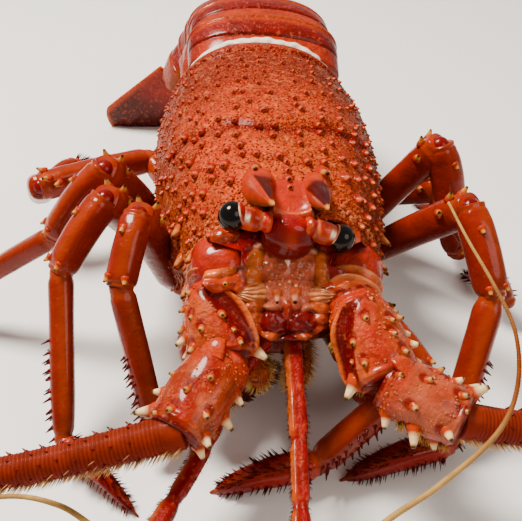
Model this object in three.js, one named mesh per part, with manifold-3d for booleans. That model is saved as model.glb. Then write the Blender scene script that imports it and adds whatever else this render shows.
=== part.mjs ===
import * as THREE from 'three';
import { mergeVertices } from 'three/addons/utils/BufferGeometryUtils.js';
import Module from 'manifold-3d';

// Spiny lobster, a still model at life size. Millimetres, +Z up, head towards -Y.
// Left and right are the animal's own, so its left side is +X.

// Clear space between two nodes that touch
const GAP = 0.3;

// How the body lies: its middle above the floor, turned about Z and rolled about its length
const BODY_MIDDLE = new THREE.Vector3(2.2, -12, 40);
const BODY_YAW = 4.5;
const BODY_ROLL = 6;

// Carapace, measured along the body from its middle, and up and down from its widest line
const BROW = -47;
const REAR_RIM = 51;
const CARAPACE_HALF_WIDTH = 36;
const WIDEST_AT = 22;
const FRONT_NARROWING = 11;
const REAR_NARROWING = 5;
const CARAPACE_TOP = 35;
const HIGHEST_AT = 12;
const FRONT_FALL = 7;
const REAR_FALL = 3;
const CARAPACE_UNDERSIDE = -14;
const CERVICAL_GROOVE_AT = -10;
const CERVICAL_GROOVE_DEPTH = 1.3;
const RIM_BAND = 5.5;
const RIM_RAISED = 0.9;

// Spines of the carapace: staggered rows from the rear rim to the brow
const SPINE_ROOT = 1.3;
const SPINE_ROWS = 8;
const FIRST_SPINE_ROW = 0.86;
const SPINE_ROW_STEP = 0.1;
const SPINE_STEP = 14.5;
const SPINE_REACH = 72.5;
const SPINE_LEAN = -1.1;
const SPINE_LENGTH = 2.5;
const SPINE_RADIUS = 1.25;
const GROOVE_ROW = 4;

// Head
const EYE_RADIUS = 3.9;
const HORN_BASE_RADIUS = 4.6;

// Abdomen: six rings bent round an arc, then the fan
const ARC_MIDDLE_Y = 76.8;
const ARC_MIDDLE_Z = -18.6;
const ARC_RADIUS = 42;
const ARC_START = -28;
const ARC_END = 80;
const ABDOMEN_RINGS = 6;
const ABDOMEN_SHIFT = 1.5;
const ABDOMEN_DRIFT = -14;
const ABDOMEN_HALF_WIDTH = 28;
const ABDOMEN_NARROWING = 6;
const ABDOMEN_ABOVE = 13;
const ABDOMEN_BELOW = 11;
const PLEURON_LENGTH = 12;
const FAN_THICKNESS = 1.8;
const FAN_LAYER = FAN_THICKNESS + GAP + 0.2;

// Colours
const SHELL = { color: 0xc8512f, roughness: 0.5 };
const GLOSSY_SHELL = { color: 0xc4431f, roughness: 0.3 };
const LEG_SHELL = { color: 0xb5401f, roughness: 0.3 };
const DARK_RED = { color: 0x8f1f14, roughness: 0.3 };
const HORN = { color: 0xa83226, roughness: 0.3 };
const EYE_BLACK = { color: 0x0c0c0b, roughness: 0.1 };
const FEELER = { color: 0xa5402c, roughness: 0.5 };
const TAN = { color: 0xb98a55, roughness: 0.6 };

const UP = new THREE.Vector3(0, 0, 1);
const LENGTHWISE = new THREE.Vector3(0, 1, 0);
const FORWARD = new THREE.Vector3(0, -1, 0);
const SIDES = [['left', 1], ['right', -1]];

const wasm = await Module();
wasm.setup();

const model = new THREE.Group();

// Joining and cutting

function solid(geometry) {
  geometry.deleteAttribute('normal');
  geometry.deleteAttribute('uv');
  const merged = mergeVertices(geometry, 1e-4);
  return new wasm.Manifold(new wasm.Mesh({
    numProp: 3,
    vertProperties: new Float32Array(merged.attributes.position.array),
    triVerts: new Uint32Array(merged.index.array),
  }));
}

function largest(manifold) {
  return manifold.decompose().reduce((best, piece) => (piece.volume() > best.volume() ? piece : best));
}

function fuse(pieces) {
  return largest(pieces.reduce((whole, piece) => whole.add(piece)));
}

function without(manifold, ...others) {
  return largest(others.reduce((rest, other) => rest.subtract(other), manifold));
}

// Removes what lies beyond a plane, on the side its normal points to
function trim(manifold, point, normal, size = 600) {
  const block = new THREE.BoxGeometry(size, size, size);
  block.translate(0, 0, size / 2);
  block.applyQuaternion(new THREE.Quaternion().setFromUnitVectors(UP, normal.clone().normalize()));
  block.translate(point.x, point.y, point.z);
  return manifold.subtract(solid(block));
}

function node(name, manifold, finish) {
  const aboveFloor = largest(trim(manifold, new THREE.Vector3(), UP.clone().negate()));
  const { vertProperties, triVerts } = aboveFloor.getMesh();
  const geometry = new THREE.BufferGeometry();
  geometry.setAttribute('position', new THREE.BufferAttribute(vertProperties, 3));
  geometry.setIndex(new THREE.BufferAttribute(triVerts, 1));
  geometry.computeVertexNormals();
  const mesh = new THREE.Mesh(geometry, new THREE.MeshStandardMaterial({ metalness: 0, ...finish }));
  mesh.name = name;
  model.add(mesh);
}

// Places

const bodyPlace = new THREE.Matrix4()
  .makeRotationZ(THREE.MathUtils.degToRad(BODY_YAW))
  .multiply(new THREE.Matrix4().makeRotationY(THREE.MathUtils.degToRad(BODY_ROLL)))
  .setPosition(BODY_MIDDLE);

function onBody(x, y, z) {
  return new THREE.Vector3(x, y, z).applyMatrix4(bodyPlace);
}

const BODY_UP = UP.clone().transformDirection(bodyPlace);

function at(x, y, z) {
  return new THREE.Vector3(x, y, z);
}

function curve(...points) {
  return points.length === 2 ? new THREE.LineCurve3(...points) : new THREE.CatmullRomCurve3(points);
}

// Forms
// A form is a section carried along a path: reach(t, angle) gives how far its skin lies to the side
// and up from the path, where t runs from 0 to 1 and the angle from the top towards the side.

function between(table, t) {
  const next = Math.max(1, table.findIndex(([place]) => place >= t));
  const [low, high] = [table[next - 1], table[next]];
  const share = (t - low[0]) / (high[0] - low[0]);
  return low.slice(1).map((value, i) => value + (high[i + 1] - value) * share);
}

function power(value, exponent) {
  return Math.sign(value) * Math.abs(value) ** exponent;
}

function even(count) {
  return Array.from({ length: count + 1 }, (_, i) => i / count);
}

// A limb is a form whose table holds rows of place, half width and half height
function limb(path, table, { sides = 8, up = UP, squareness = 2 } = {}) {
  const bend = 2 / squareness;
  return {
    path,
    sides,
    up,
    stations: table.map(([t]) => t),
    reach(t, angle) {
      const [halfWidth, halfHeight] = between(table, t);
      return [halfWidth * power(Math.sin(angle), bend), halfHeight * power(Math.cos(angle), bend)];
    },
  };
}

function frameOf(form, t) {
  const centre = form.path.getPointAt(t);
  const tangent = form.path.getTangentAt(t);
  const side = tangent.clone().cross(form.up).normalize();
  return { centre, tangent, side, up: side.clone().cross(tangent) };
}

function skin(form, t, angle, lift = 0) {
  const { centre, side, up } = frameOf(form, t);
  const [across, along] = form.reach(t, angle);
  const scale = 1 + lift / Math.hypot(across, along);
  return centre.addScaledVector(side, across * scale).addScaledVector(up, along * scale);
}

function shape(form, lift = 0) {
  const last = form.stations.length - 1;
  const geometry = new THREE.CylinderGeometry(1, 1, 1, form.sides, last);
  const position = geometry.attributes.position;
  for (let i = 0; i < position.count; i += 1) {
    const row = Math.round((position.getY(i) + 0.5) * last);
    const [x, z] = [position.getX(i), position.getZ(i)];
    const t = form.stations[row];
    const { centre, tangent } = frameOf(form, t);
    const place = Math.hypot(x, z) < 0.5 ? centre : skin(form, t, Math.atan2(x, z), lift);
    if (row === 0) place.addScaledVector(tangent, -lift);
    if (row === last) place.addScaledVector(tangent, lift);
    position.setXYZ(i, place.x, place.y, place.z);
  }
  return solid(geometry);
}

function ball(centre, radii, { lift = 0, sides = 10, rows = 7, turn = bodyPlace } = {}) {
  const geometry = new THREE.SphereGeometry(1, sides, rows);
  geometry.scale(radii[0] + lift, radii[1] + lift, radii[2] + lift);
  geometry.applyQuaternion(new THREE.Quaternion().setFromRotationMatrix(turn));
  geometry.translate(centre.x, centre.y, centre.z);
  return solid(geometry);
}

// Spines
// A spine is a cone on the skin of a form, leaning along the form, its root sunk into it

const random = seeded(7);

function seeded(seed) {
  let state = seed;
  return (spread) => {
    state = (state * 16807) % 2147483647;
    return (state / 2147483647 - 0.5) * 2 * spread;
  };
}

function skinNormal(form, t, angle) {
  const [low, high] = [Math.max(0, t - 0.02), Math.min(1, t + 0.02)];
  const along = skin(form, high, angle).sub(skin(form, low, angle));
  const around = skin(form, t, angle + 0.05).sub(skin(form, t, angle - 0.05));
  const normal = along.cross(around).normalize();
  return normal.dot(skin(form, t, angle).sub(frameOf(form, t).centre)) < 0 ? normal.negate() : normal;
}

function spine(form, t, degrees, length, radius, { lean = 0, sides = 4 } = {}) {
  const angle = THREE.MathUtils.degToRad(degrees);
  const foot = skin(form, t, angle);
  const way = skinNormal(form, t, angle).addScaledVector(frameOf(form, t).tangent, lean).normalize();
  const cone = new THREE.ConeGeometry(radius, length + SPINE_ROOT, sides);
  cone.translate(0, (length - SPINE_ROOT) / 2, 0);
  cone.applyQuaternion(new THREE.Quaternion().setFromUnitVectors(LENGTHWISE, way));
  cone.translate(foot.x, foot.y, foot.z);
  return solid(cone);
}

// Rows hold the angle, then the places along the form
function spineRows(form, rows, length, radius, options) {
  return rows.flatMap(([degrees, ...places]) => places.map((t) => {
    const size = 1 + random(0.2);
    return spine(form, t, degrees + random(3), length * size, radius * size, options);
  }));
}

// Carapace

function carapaceHalfWidth(y) {
  const front = ((WIDEST_AT - y) / (WIDEST_AT - BROW)) ** 2 * FRONT_NARROWING;
  const rear = ((y - WIDEST_AT) / (REAR_RIM - WIDEST_AT)) ** 2 * REAR_NARROWING;
  return CARAPACE_HALF_WIDTH - (y < WIDEST_AT ? front : rear);
}

function carapaceTop(y) {
  const front = ((HIGHEST_AT - y) / (HIGHEST_AT - BROW)) ** 2 * FRONT_FALL;
  const rear = ((y - HIGHEST_AT) / (REAR_RIM - HIGHEST_AT)) ** 2 * REAR_FALL;
  return CARAPACE_TOP - (y < HIGHEST_AT ? front : rear);
}

function carapaceRelief(y, angle) {
  const groove = CERVICAL_GROOVE_AT + 8 * Math.sin(angle) ** 2;
  const fade = Math.max(0, Math.cos(angle)) ** 0.5;
  const cut = CERVICAL_GROOVE_DEPTH * Math.exp(-(((y - groove) / 3) ** 2)) * fade;
  const band = y > REAR_RIM - RIM_BAND ? RIM_RAISED : 0;
  return band - cut;
}

const carapaceForm = {
  path: curve(onBody(0, BROW, 0), onBody(0, REAR_RIM, 0)),
  sides: 28,
  up: BODY_UP,
  stations: even(19),
  reach(t, angle) {
    const y = BROW + (REAR_RIM - BROW) * t;
    const relief = carapaceRelief(y, angle);
    const [sin, cos] = [Math.sin(angle), Math.cos(angle)];
    const squareness = cos > 0 ? 2.3 : 3.5;
    const height = cos > 0 ? carapaceTop(y) : -CARAPACE_UNDERSIDE + 1;
    return [
      (carapaceHalfWidth(y) + relief) * power(sin, 2 / squareness),
      (height + relief) * power(cos, 2 / squareness),
    ];
  },
};

const eyeCentre = (side) => (side > 0 ? onBody(11.6, BROW - 3.6, 24.5) : onBody(-15.8, BROW - 3, 29));
const stalkRoot = (side) => onBody(side * 4.8, BROW - 2.8, 25.5);

function carapace(lift = 0) {
  const underside = onBody(0, 0, CARAPACE_UNDERSIDE - lift);
  const shell = trim(shape(carapaceForm, lift), underside, BODY_UP.clone().negate());
  const orbits = SIDES.map(([, side]) => ball(eyeCentre(side), [7 - lift, 6 - lift, 5.5 - lift]));
  return without(shell, ...orbits);
}

// The rows grow larger towards the head, and largest along the groove
function carapaceSpines() {
  const spines = [];
  const lean = SPINE_LEAN;
  for (let row = 0; row < SPINE_ROWS; row += 1) {
    const place = FIRST_SPINE_ROW - row * SPINE_ROW_STEP;
    const grown = row === GROOVE_ROW ? 1.4 : 0.9 + 0.05 * row;
    const offset = row % 2 ? SPINE_STEP / 2 : 0;
    for (let degrees = -SPINE_REACH + offset; degrees <= SPINE_REACH; degrees += SPINE_STEP) {
      const t = place + random(0.018);
      const nearHorns = t < 0.22 && Math.abs(degrees) < 30;
      const size = grown * (1 + random(0.15));
      const middle = degrees + random(2.5);
      if (!nearHorns) {
        spines.push(spine(carapaceForm, t, middle, SPINE_LENGTH * size, SPINE_RADIUS * size, { lean }));
      }
    }
  }
  const behindHorns = [-15, 14].map((degrees) => (
    spine(carapaceForm, 0.18, degrees, 5.5, 2.3, { lean, sides: 7 })
  ));
  const middleRow = [0.165, 0.125, 0.09].map((t) => spine(carapaceForm, t, -1, 1.8, 1.1, { lean }));
  const cheeks = [[0.1, 82], [0.04, 70], [0.17, 74]].flatMap(([t, degrees]) => (
    [-1, 1].map((way) => spine(carapaceForm, t, way * degrees, 4.5, 1.6, { lean, sides: 6 }))
  ));
  return [...spines, ...behindHorns, ...middleRow, ...cheeks];
}

// Sternum, under the carapace
const sternumForm = limb(
  curve(onBody(0, -38, -20.5), onBody(0, 47, -20.5)),
  [[0, 8, 5], [0.1, 11, 6.5], [0.9, 21, 6.5], [1, 19, 5]],
  { sides: 12, up: BODY_UP, squareness: 3.5 },
);

function sternum(lift = 0) {
  return trim(shape(sternumForm, lift), onBody(0, 0, CARAPACE_UNDERSIDE - GAP), BODY_UP);
}

// Face: eye plate, antennular plate with the mouth frame below it, horns, stalks and eyes

const eyePlate = (lift = 0) => ball(onBody(0, BROW - 2.5, 22.5), [7.8, 4.8, 6.2], { lift });

const facePlateForm = limb(
  curve(onBody(0, BROW + 1, 2), onBody(0, BROW - 15.5, 2)),
  [[0, 9.2, 14], [0.45, 8.6, 13], [1, 7.4, 6.5]],
  { sides: 12, up: BODY_UP, squareness: 3.5 },
);
const facePlate = (lift = 0) => shape(facePlateForm, lift);

function faceSpines() {
  const tusks = [-8, 16].map((degrees) => spine(facePlateForm, 0.85, degrees, 3, 1.3, { lean: 0.8 }));
  const knobs = spineRows(facePlateForm, [[20, 0.5, 0.66], [-11, 0.5, 0.66], [6, 0.58, 0.7]], 0.9, 1);
  return [...tusks, ...knobs];
}

const hornForm = (side) => limb(
  curve(onBody(side * 8.2, -35, 28), onBody(side * 7.2, -46, 33), onBody(side * 5.4, -56, 37.3)),
  [[0, HORN_BASE_RADIUS, 5], [0.55, HORN_BASE_RADIUS * 0.9, 4], [0.85, 1.9, 1.8], [1, 0.4, 0.4]],
  { sides: 10, up: BODY_UP },
);

const stalkForm = (side) => limb(
  curve(stalkRoot(side), eyeCentre(side).lerp(stalkRoot(side), 0.2)),
  [[0, 2.6, 2.6], [0.6, 2.5, 2.5], [1, 3, 3]],
  { up: BODY_UP },
);

// Antennae: joint places from the first segment out

const ANTENNAE = {
  left: {
    socket: onBody(16.5, BROW + 1, 10),
    first: at(23.3, -68.9, 49),
    second: at(30.9, -88.6, 40),
    third: at(47.8, -97.5, 36),
    reachOut: [at(63, -96.5, 32), at(112, -92, 26), at(170, -66, 16), at(225, -20, 8)],
  },
  right: {
    socket: onBody(-16.5, BROW + 1, 10),
    first: at(-12.7, -65.3, 50),
    second: at(-9.2, -82, 41),
    third: at(-20.3, -101.2, 36),
    reachOut: [at(-60.9, -107, 28.5), at(-112, -108, 22), at(-168, -86, 14), at(-222, -40, 8)],
  },
};
const PEDUNCLE_HALF_WIDTH = 8.7;
const FLAGELLUM_RADIUS = 4.5;
const FLAGELLUM_SPINES = 14;

function bisector(before, joint, after) {
  const incoming = joint.clone().sub(before).normalize();
  const outgoing = after.clone().sub(joint).normalize();
  return incoming.add(outgoing).normalize();
}

function jointed(manifold, joint, normal, keepsBefore, size) {
  const direction = keepsBefore ? normal.clone() : normal.clone().negate();
  return trim(manifold, joint.clone().addScaledVector(direction, -GAP / 2), direction, size);
}

// Spine rows of the second and third segments, by angle from the top towards the outer side
const SECOND_ROWS = [
  [68, 0.36, 0.52, 0.66, 0.82], [32, 0.42, 0.6, 0.8], [-2, 0.36, 0.56, 0.8],
  [-50, 0.54, 0.77], [112, 0.42, 0.6, 0.82], [-112, 0.55, 0.8],
];
const THIRD_ROWS = [
  [8, 0.45, 0.64, 0.86], [-22, 0.2, 0.42], [-60, 0.44, 0.73], [-95, 0.5, 0.86],
  [50, 0.32, 0.56, 0.85], [95, 0.36, 0.6, 0.88], [-135, 0.6, 0.86],
];
const PEDUNCLE_SPINE = [2.9, 1.25];

function peduncleSpines(form, rows, side) {
  const turned = rows.map(([degrees, ...places]) => [-side * degrees, ...places]);
  return spineRows(form, turned, ...PEDUNCLE_SPINE, { lean: 0.7 });
}

function antenna(name, side) {
  const { socket, first, second, third, reachOut } = ANTENNAE[name];
  const wide = PEDUNCLE_HALF_WIDTH;
  const cuts = {
    first: bisector(socket, first, second),
    second: bisector(first, second, third),
    third: bisector(second, third, reachOut[0]),
  };
  const dome = ball(socket, [8.4, 10, 9.4]);
  const neckPath = curve(socket, first.clone().lerp(second, 0.1));
  const neck = shape(limb(neckPath, [[0, 6, 6], [0.5, 8, 7], [1, 7.5, 7]]));
  const base = jointed(dome.add(neck), first, cuts.first, true);
  node(`antenna_${name}_base_1`, without(base, carapace(GAP), facePlate(GAP)), DARK_RED);

  const middlePath = curve(first.clone().lerp(second, -0.1), second.clone().lerp(first, -0.1));
  const middleTable = [[0, 6.5, 6], [0.15, 7.6, 7], [0.55, wide, wide * 0.9], [1, wide * 0.92, wide * 0.8]];
  const middleForm = limb(middlePath, middleTable, { sides: 12 });
  const middle = fuse([shape(middleForm), ...peduncleSpines(middleForm, SECOND_ROWS, side)]);
  const middleCut = jointed(jointed(middle, first, cuts.first, false), second, cuts.second, true);
  node(`antenna_${name}_base_2`, without(middleCut, facePlate(GAP)), SHELL);

  const lastPath = curve(second.clone().lerp(third, -0.1), third.clone().lerp(second, -0.1));
  const lastTable = [
    [0, wide * 0.85, wide * 0.75], [0.3, wide * 0.92, wide * 0.84],
    [0.8, wide * 0.88, wide * 0.8], [1, wide * 0.82, wide * 0.75],
  ];
  const lastForm = limb(lastPath, lastTable, { sides: 12 });
  const last = fuse([shape(lastForm), ...peduncleSpines(lastForm, THIRD_ROWS, side)]);
  const lastCut = jointed(jointed(last, second, cuts.second, false), third, cuts.third, true);
  node(`antenna_${name}_base_3`, lastCut, SHELL);

  const path = curve(third.clone().lerp(reachOut[0], -0.05), ...reachOut);
  const half = 0.42;
  const radius = (t) => 0.45 + (FLAGELLUM_RADIUS - 0.45) * (1 - t) ** 0.9;
  const lengths = [even(14).map((t) => t * half), even(12).map((t) => half + t * (1 - half))];
  lengths.forEach((stations, i) => {
    const table = stations.map((t) => [t, radius(t), radius(t)]);
    const form = limb(path, table, { sides: 8 });
    const rows = even(FLAGELLUM_SPINES).slice(1, -1).map((share) => [
      Math.round(share * FLAGELLUM_SPINES) % 2 ? -42 : 12,
      THREE.MathUtils.lerp(stations[0], stations[stations.length - 1], share),
    ]);
    const reach = i === 0 ? 1.9 : 1.3;
    let tube = fuse([shape(form), ...spineRows(form, rows, reach, 0.75, { lean: 0.8 })]);
    const splitAt = path.getPointAt(half);
    const splitWay = path.getTangentAt(half);
    if (i === 0) tube = jointed(tube, third, cuts.third, false);
    tube = jointed(tube, splitAt, splitWay, i === 0);
    node(`antenna_${name}_flagellum_${i + 1}`, tube, FEELER);
  });
}

// Antennules: a stalk and two thin flagella each
const ANTENNULES = {
  left: {
    stalk: [at(7.6, -71, 41), at(8.8, -90, 34), at(9.1, -108, 28.5), at(8.8, -127, 24)],
    outer: [
      at(14, -133, 26), at(25.8, -124, 33), at(38.2, -118.9, 40), at(51.9, -109.7, 47), at(57.4, -100.2, 51),
      at(58.9, -87.6, 56), at(55, -78, 62), at(50.4, -67.4, 67), at(47, -57, 71),
    ],
    inner: [at(5, -138, 20), at(-8, -152, 14), at(-30, -164, 8), at(-54, -170, 3)],
  },
  right: {
    stalk: [at(1, -71, 38), at(-8, -80, 28), at(-15, -96, 22), at(-26, -120, 20)],
    outer: [
      at(-33, -119, 19), at(-49.1, -107.5, 16.5), at(-65, -103.3, 14), at(-92, -112, 11), at(-124, -132, 4),
    ],
    inner: [at(-30, -130, 17), at(-42, -144, 11), at(-66, -154, 6), at(-96, -160, 3)],
  },
};
const WHIP_RADIUS = 0.85;
const WHIP_TIP_RADIUS = 0.35;
const WHIP_SPREAD = 1.1;

const antennuleStalk = (points) => limb(
  curve(...points),
  [
    [0, 2.8, 2.4], [0.15, 2.4, 2.1], [0.3, 2.2, 2], [0.45, 2.1, 1.9],
    [0.6, 2.1, 2], [0.75, 2.2, 2], [0.92, 2.4, 2.2], [1, 1.8, 1.8],
  ],
);

function antennule(name) {
  const { stalk, outer, inner } = ANTENNULES[name];
  const stem = shape(antennuleStalk(stalk));
  node(`antennule_${name}`, without(stem, facePlate(GAP)), GLOSSY_SHELL);
  const tip = stalk[stalk.length - 1];
  const across = new THREE.Vector3(1, 0, 0);
  [['outer', outer, 1], ['inner', inner, -1]].forEach(([branch, route, way]) => {
    const start = tip.clone().addScaledVector(across, way * WHIP_SPREAD * (name === 'left' ? 1 : -1));
    const path = curve(start, ...route);
    const radius = (t) => THREE.MathUtils.lerp(WHIP_RADIUS, WHIP_TIP_RADIUS, t);
    const whip = shape(limb(path, even(15).map((t) => [t, radius(t), radius(t)]), { sides: 4 }));
    node(`antennule_${name}_${branch}`, without(whip, shape(antennuleStalk(stalk), GAP)), TAN);
  });
}

// Maxillipeds, the pair of mouth legs folded under the face
const maxillipedForm = (side) => limb(
  curve(
    onBody(side * 7, -38, -19), onBody(side * 6.5, -50, -16.5),
    onBody(side * 5.5, -57, -18), onBody(side * 5, -53, -26),
  ),
  [[0, 3.4, 3], [0.4, 3.6, 3.2], [0.75, 2.8, 2.6], [1, 1.2, 1.2]],
  { up: BODY_UP },
);

// Walking legs, first to fifth: hip, knee, wrist, ankle and toe of each
const LEGS = {
  right: [
    [onBody(-19, -30, -20), at(-19, -63, 27), at(-15, -77, 18), at(-2, -59, 8), at(6, -47, 0)],
    [onBody(-29, -16, -19), at(-33, -47.6, 60), at(-37.1, -62.1, 48), at(-28, -82, 8), at(-16, -70, 0)],
    [
      onBody(-34, -1, -19), at(-43.1, -39.4, 60), at(-55.6, -50.4, 44), at(-54.1, -81.3, 9),
      at(-32.7, -99.2, 0),
    ],
    [onBody(-36, 16, -18), at(-45.8, -23.6, 60), at(-62.6, -28.9, 40), at(-101, -25, 12), at(-112, -4, 0)],
    [onBody(-38, 46, -13), at(-76.5, 10.8, 32), at(-83, 28, 18), at(-74, 46, 20), at(-60, 60, 0)],
  ],
  left: [
    [onBody(18, -31, -20), at(25, -60, 22), at(31, -70, 13), at(34, -54, 5), at(36, -40, 0)],
    [onBody(27, -20, -18), at(33, -62, 34), at(42, -77, 30), at(15.3, -88.3, 8), at(-13.3, -92, 0)],
    [onBody(34, -1, -18), at(57.9, -40.4, 58), at(63.5, -56.8, 40), at(52.5, -79, 5), at(22.2, -88.1, 0)],
    [onBody(36, 16, -17), at(55.6, -6.2, 58), at(60.7, -11, 38), at(81.4, -24.8, 10), at(73, 2, 0)],
    [onBody(37, 32, -16), at(60, 4, 36), at(68, -4, 15), at(74, 30, 5), at(62, 48, 0)],
  ],
};
const COXA_SPACING = 13.5;
const JOINT_BEND = 5;
const KNEE_PAST = 2.5;
const KNEE_BLOCK = 24;

// Rows of segment, share of its length, half width and half height
const UPPER_LEG = [
  [0, 0, 5, 5], [0, 0.4, 5.2, 5], [0, 0.8, 4.2, 4.2], [1, 0, 4.3, 4.3], [1, 0.12, 4.1, 4.1],
  [1, 0.25, 4.4, 4.7], [1, 0.7, 4.6, 5], [1, 1, 4.2, 4.7],
];
const LOWER_LEG = [
  [0, 0, 4.2, 4.6], [0, 0.45, 4.5, 4.6], [0, 0.85, 4.1, 4], [1, 0, 3.3, 3.3], [1, 0.1, 3.7, 3.6],
  [1, 0.5, 3.6, 3.5], [1, 0.9, 3.1, 3], [2, 0, 2.8, 2.8], [2, 0.15, 3, 2.9], [2, 0.6, 2.3, 2.2],
  [2, 1, 0.5, 0.5],
];

// Straight segments joined by short bends, with the place of each joint along the whole
function bentPath(points) {
  const path = new THREE.CurvePath();
  const cut = (from, to) => from.clone().lerp(to, Math.min(0.45, JOINT_BEND / from.distanceTo(to)));
  let start = points[0];
  for (let i = 1; i < points.length - 1; i += 1) {
    const [into, out] = [cut(points[i], points[i - 1]), cut(points[i], points[i + 1])];
    path.add(new THREE.LineCurve3(start, into));
    path.add(new THREE.QuadraticBezierCurve3(into, points[i], out));
    start = out;
  }
  path.add(new THREE.LineCurve3(start, points[points.length - 1]));
  const reached = path.getCurveLengths();
  const total = reached[reached.length - 1];
  const bends = points.slice(2).map((_, i) => (reached[2 * i] + reached[2 * i + 1]) / 2 / total);
  return { path, joints: [0, ...bends, 1] };
}

function bentLimb(points, rows, options) {
  const { path, joints } = bentPath(points);
  const table = rows.map(([segment, share, ...size]) => [
    THREE.MathUtils.lerp(joints[segment], joints[segment + 1] ?? 1, share), ...size,
  ]);
  return { ...limb(path, table, options), joints };
}

function legRoot(side, index) {
  return onBody(side * (9 + 2.6 * index), -30 + COXA_SPACING * index, -21);
}

const past = (from, to) => to.clone().add(to.clone().sub(from).setLength(KNEE_PAST));

// Bristles of the foot: rows of short cones along the last segment, and a few before the ankle
function footBristles(form) {
  const ankle = form.joints[2];
  const along = (share) => THREE.MathUtils.lerp(ankle, 1, share);
  const foot = spineRows(
    form,
    [
      [60, along(0.14), along(0.34), along(0.56)],
      [-60, along(0.24), along(0.46), along(0.68)],
      [180, along(0.18), along(0.42), along(0.66)],
    ],
    1.9,
    0.6,
    { lean: 0.6 },
  );
  const shin = [0.62, 0.74, 0.86].map((share) => THREE.MathUtils.lerp(form.joints[1], ankle, share));
  return [...foot, ...spineRows(form, [[75, ...shin]], 1.6, 0.65, { lean: 0.6 })];
}

function leg(name, side, index) {
  const [hip, knee, wrist, ankle, toe] = LEGS[name][index];
  const root = legRoot(side, index);
  const cut = bisector(hip, knee, wrist);
  const upperForm = bentLimb([root, hip, past(hip, knee)], UPPER_LEG);
  const beforeKnee = THREE.MathUtils.lerp(upperForm.joints[1], 1, 0.84);
  const kneeSpines = spineRows(upperForm, [[24, beforeKnee], [-30, beforeKnee]], 2.6, 1.1, { lean: 1.2 });
  const upper = jointed(fuse([shape(upperForm), ...kneeSpines]), knee, cut, true);
  node(`leg_${name}_${index + 1}_upper`, without(upper, sternum(GAP), carapace(GAP)), LEG_SHELL);
  const lowerForm = bentLimb([past(wrist, knee), wrist, ankle, toe], LOWER_LEG);
  const lower = fuse([shape(lowerForm), ...footBristles(lowerForm)]);
  node(`leg_${name}_${index + 1}_lower`, jointed(lower, knee, cut, false, KNEE_BLOCK), LEG_SHELL);
}

// Abdomen

class AbdomenArc extends THREE.Curve {
  constructor(from, to) {
    super();
    this.from = from;
    this.to = to;
  }

  getPoint(t) {
    const angle = THREE.MathUtils.degToRad(this.from + (this.to - this.from) * t);
    const share = (this.from + (this.to - this.from) * t - ARC_START) / (ARC_END - ARC_START);
    return onBody(
      ABDOMEN_SHIFT + ABDOMEN_DRIFT * share ** 3,
      ARC_MIDDLE_Y + ARC_RADIUS * Math.sin(angle),
      ARC_MIDDLE_Z + ARC_RADIUS * Math.cos(angle),
    );
  }
}

function abdomenRing(index) {
  const step = (ARC_END - ARC_START) / ABDOMEN_RINGS;
  const clear = THREE.MathUtils.radToDeg(GAP / 2 / (ARC_RADIUS - ABDOMEN_BELOW));
  const from = ARC_START + step * index;
  const path = new AbdomenArc(from + clear, from + step - clear);
  const middle = onBody(ABDOMEN_SHIFT, ARC_MIDDLE_Y, ARC_MIDDLE_Z);
  const form = {
    path,
    sides: 20,
    stations: even(3),
    up: path.getPoint(0.5).sub(middle),
    reach(t, angle) {
      const share = (index + t) / ABDOMEN_RINGS;
      const flare = 1.2 * (t - 0.5);
      const halfWidth = ABDOMEN_HALF_WIDTH - ABDOMEN_NARROWING * share + flare;
      const cos = Math.cos(angle);
      const height = cos > 0 ? ABDOMEN_ABOVE + flare : ABDOMEN_BELOW;
      const bend = cos > 0 ? 0.9 : 0.5;
      return [halfWidth * power(Math.sin(angle), bend), height * power(cos, bend)];
    },
  };
  return form;
}

// Pleura: the pointed side flap of a ring, which hangs down and back
function pleuron(form, side) {
  const angle = THREE.MathUtils.degToRad(96) * side;
  const { centre, tangent } = frameOf(form, 0.45);
  const root = skin(form, 0.45, angle).lerp(centre, 0.3);
  const edge = skin(form, 0.5, angle);
  const inward = frameOf(form, 0.5).up.negate();
  const tip = edge.clone().addScaledVector(inward, PLEURON_LENGTH).addScaledVector(tangent, 4);
  const path = curve(root, edge.clone().addScaledVector(inward, PLEURON_LENGTH * 0.45), tip);
  const flap = [[0, 8, 3.4], [0.45, 7.4, 2.6], [0.8, 4, 1.6], [1, 0.7, 0.6]];
  const across = frameOf(form, 0.45).side.multiplyScalar(side);
  return shape(limb(path, flap, { sides: 6, up: across }));
}

function ringEnds(form) {
  return [[0, -1], [1, 1]].map(([t, way]) => {
    const { centre, tangent } = frameOf(form, t);
    return [centre.addScaledVector(tangent, -way * 0.02), tangent.multiplyScalar(way)];
  });
}

function abdomen() {
  for (let index = 0; index < ABDOMEN_RINGS; index += 1) {
    const form = abdomenRing(index);
    const cutToRing = (flap) => ringEnds(form).reduce((rest, [point, way]) => trim(rest, point, way), flap);
    const flaps = index < ABDOMEN_RINGS - 1 ? [-1, 1].map((side) => cutToRing(pleuron(form, side))) : [];
    let ring = fuse([shape(form), ...flaps]);
    if (index === 0) {
      const neck = limb(
        curve(onBody(0, REAR_RIM + GAP, 14), onBody(0, REAR_RIM + 12, 16)),
        [[0, 24, 12], [1, 24, 9]],
        { sides: 16, up: BODY_UP },
      );
      ring = ring.add(shape(neck));
      ring = trim(ring, onBody(0, REAR_RIM + GAP, 0), FORWARD.clone().transformDirection(bodyPlace));
    }
    node(`abdomen_${index + 1}`, ring, GLOSSY_SHELL);
  }
}

// Tail fan: flat blades that stand on their rear edge, the middle one outermost
const FAN_ROOT = onBody(ABDOMEN_DRIFT, ARC_MIDDLE_Y + ARC_RADIUS + 4, ARC_MIDDLE_Z + 8);
const FAN_LEAN = 14;

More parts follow.
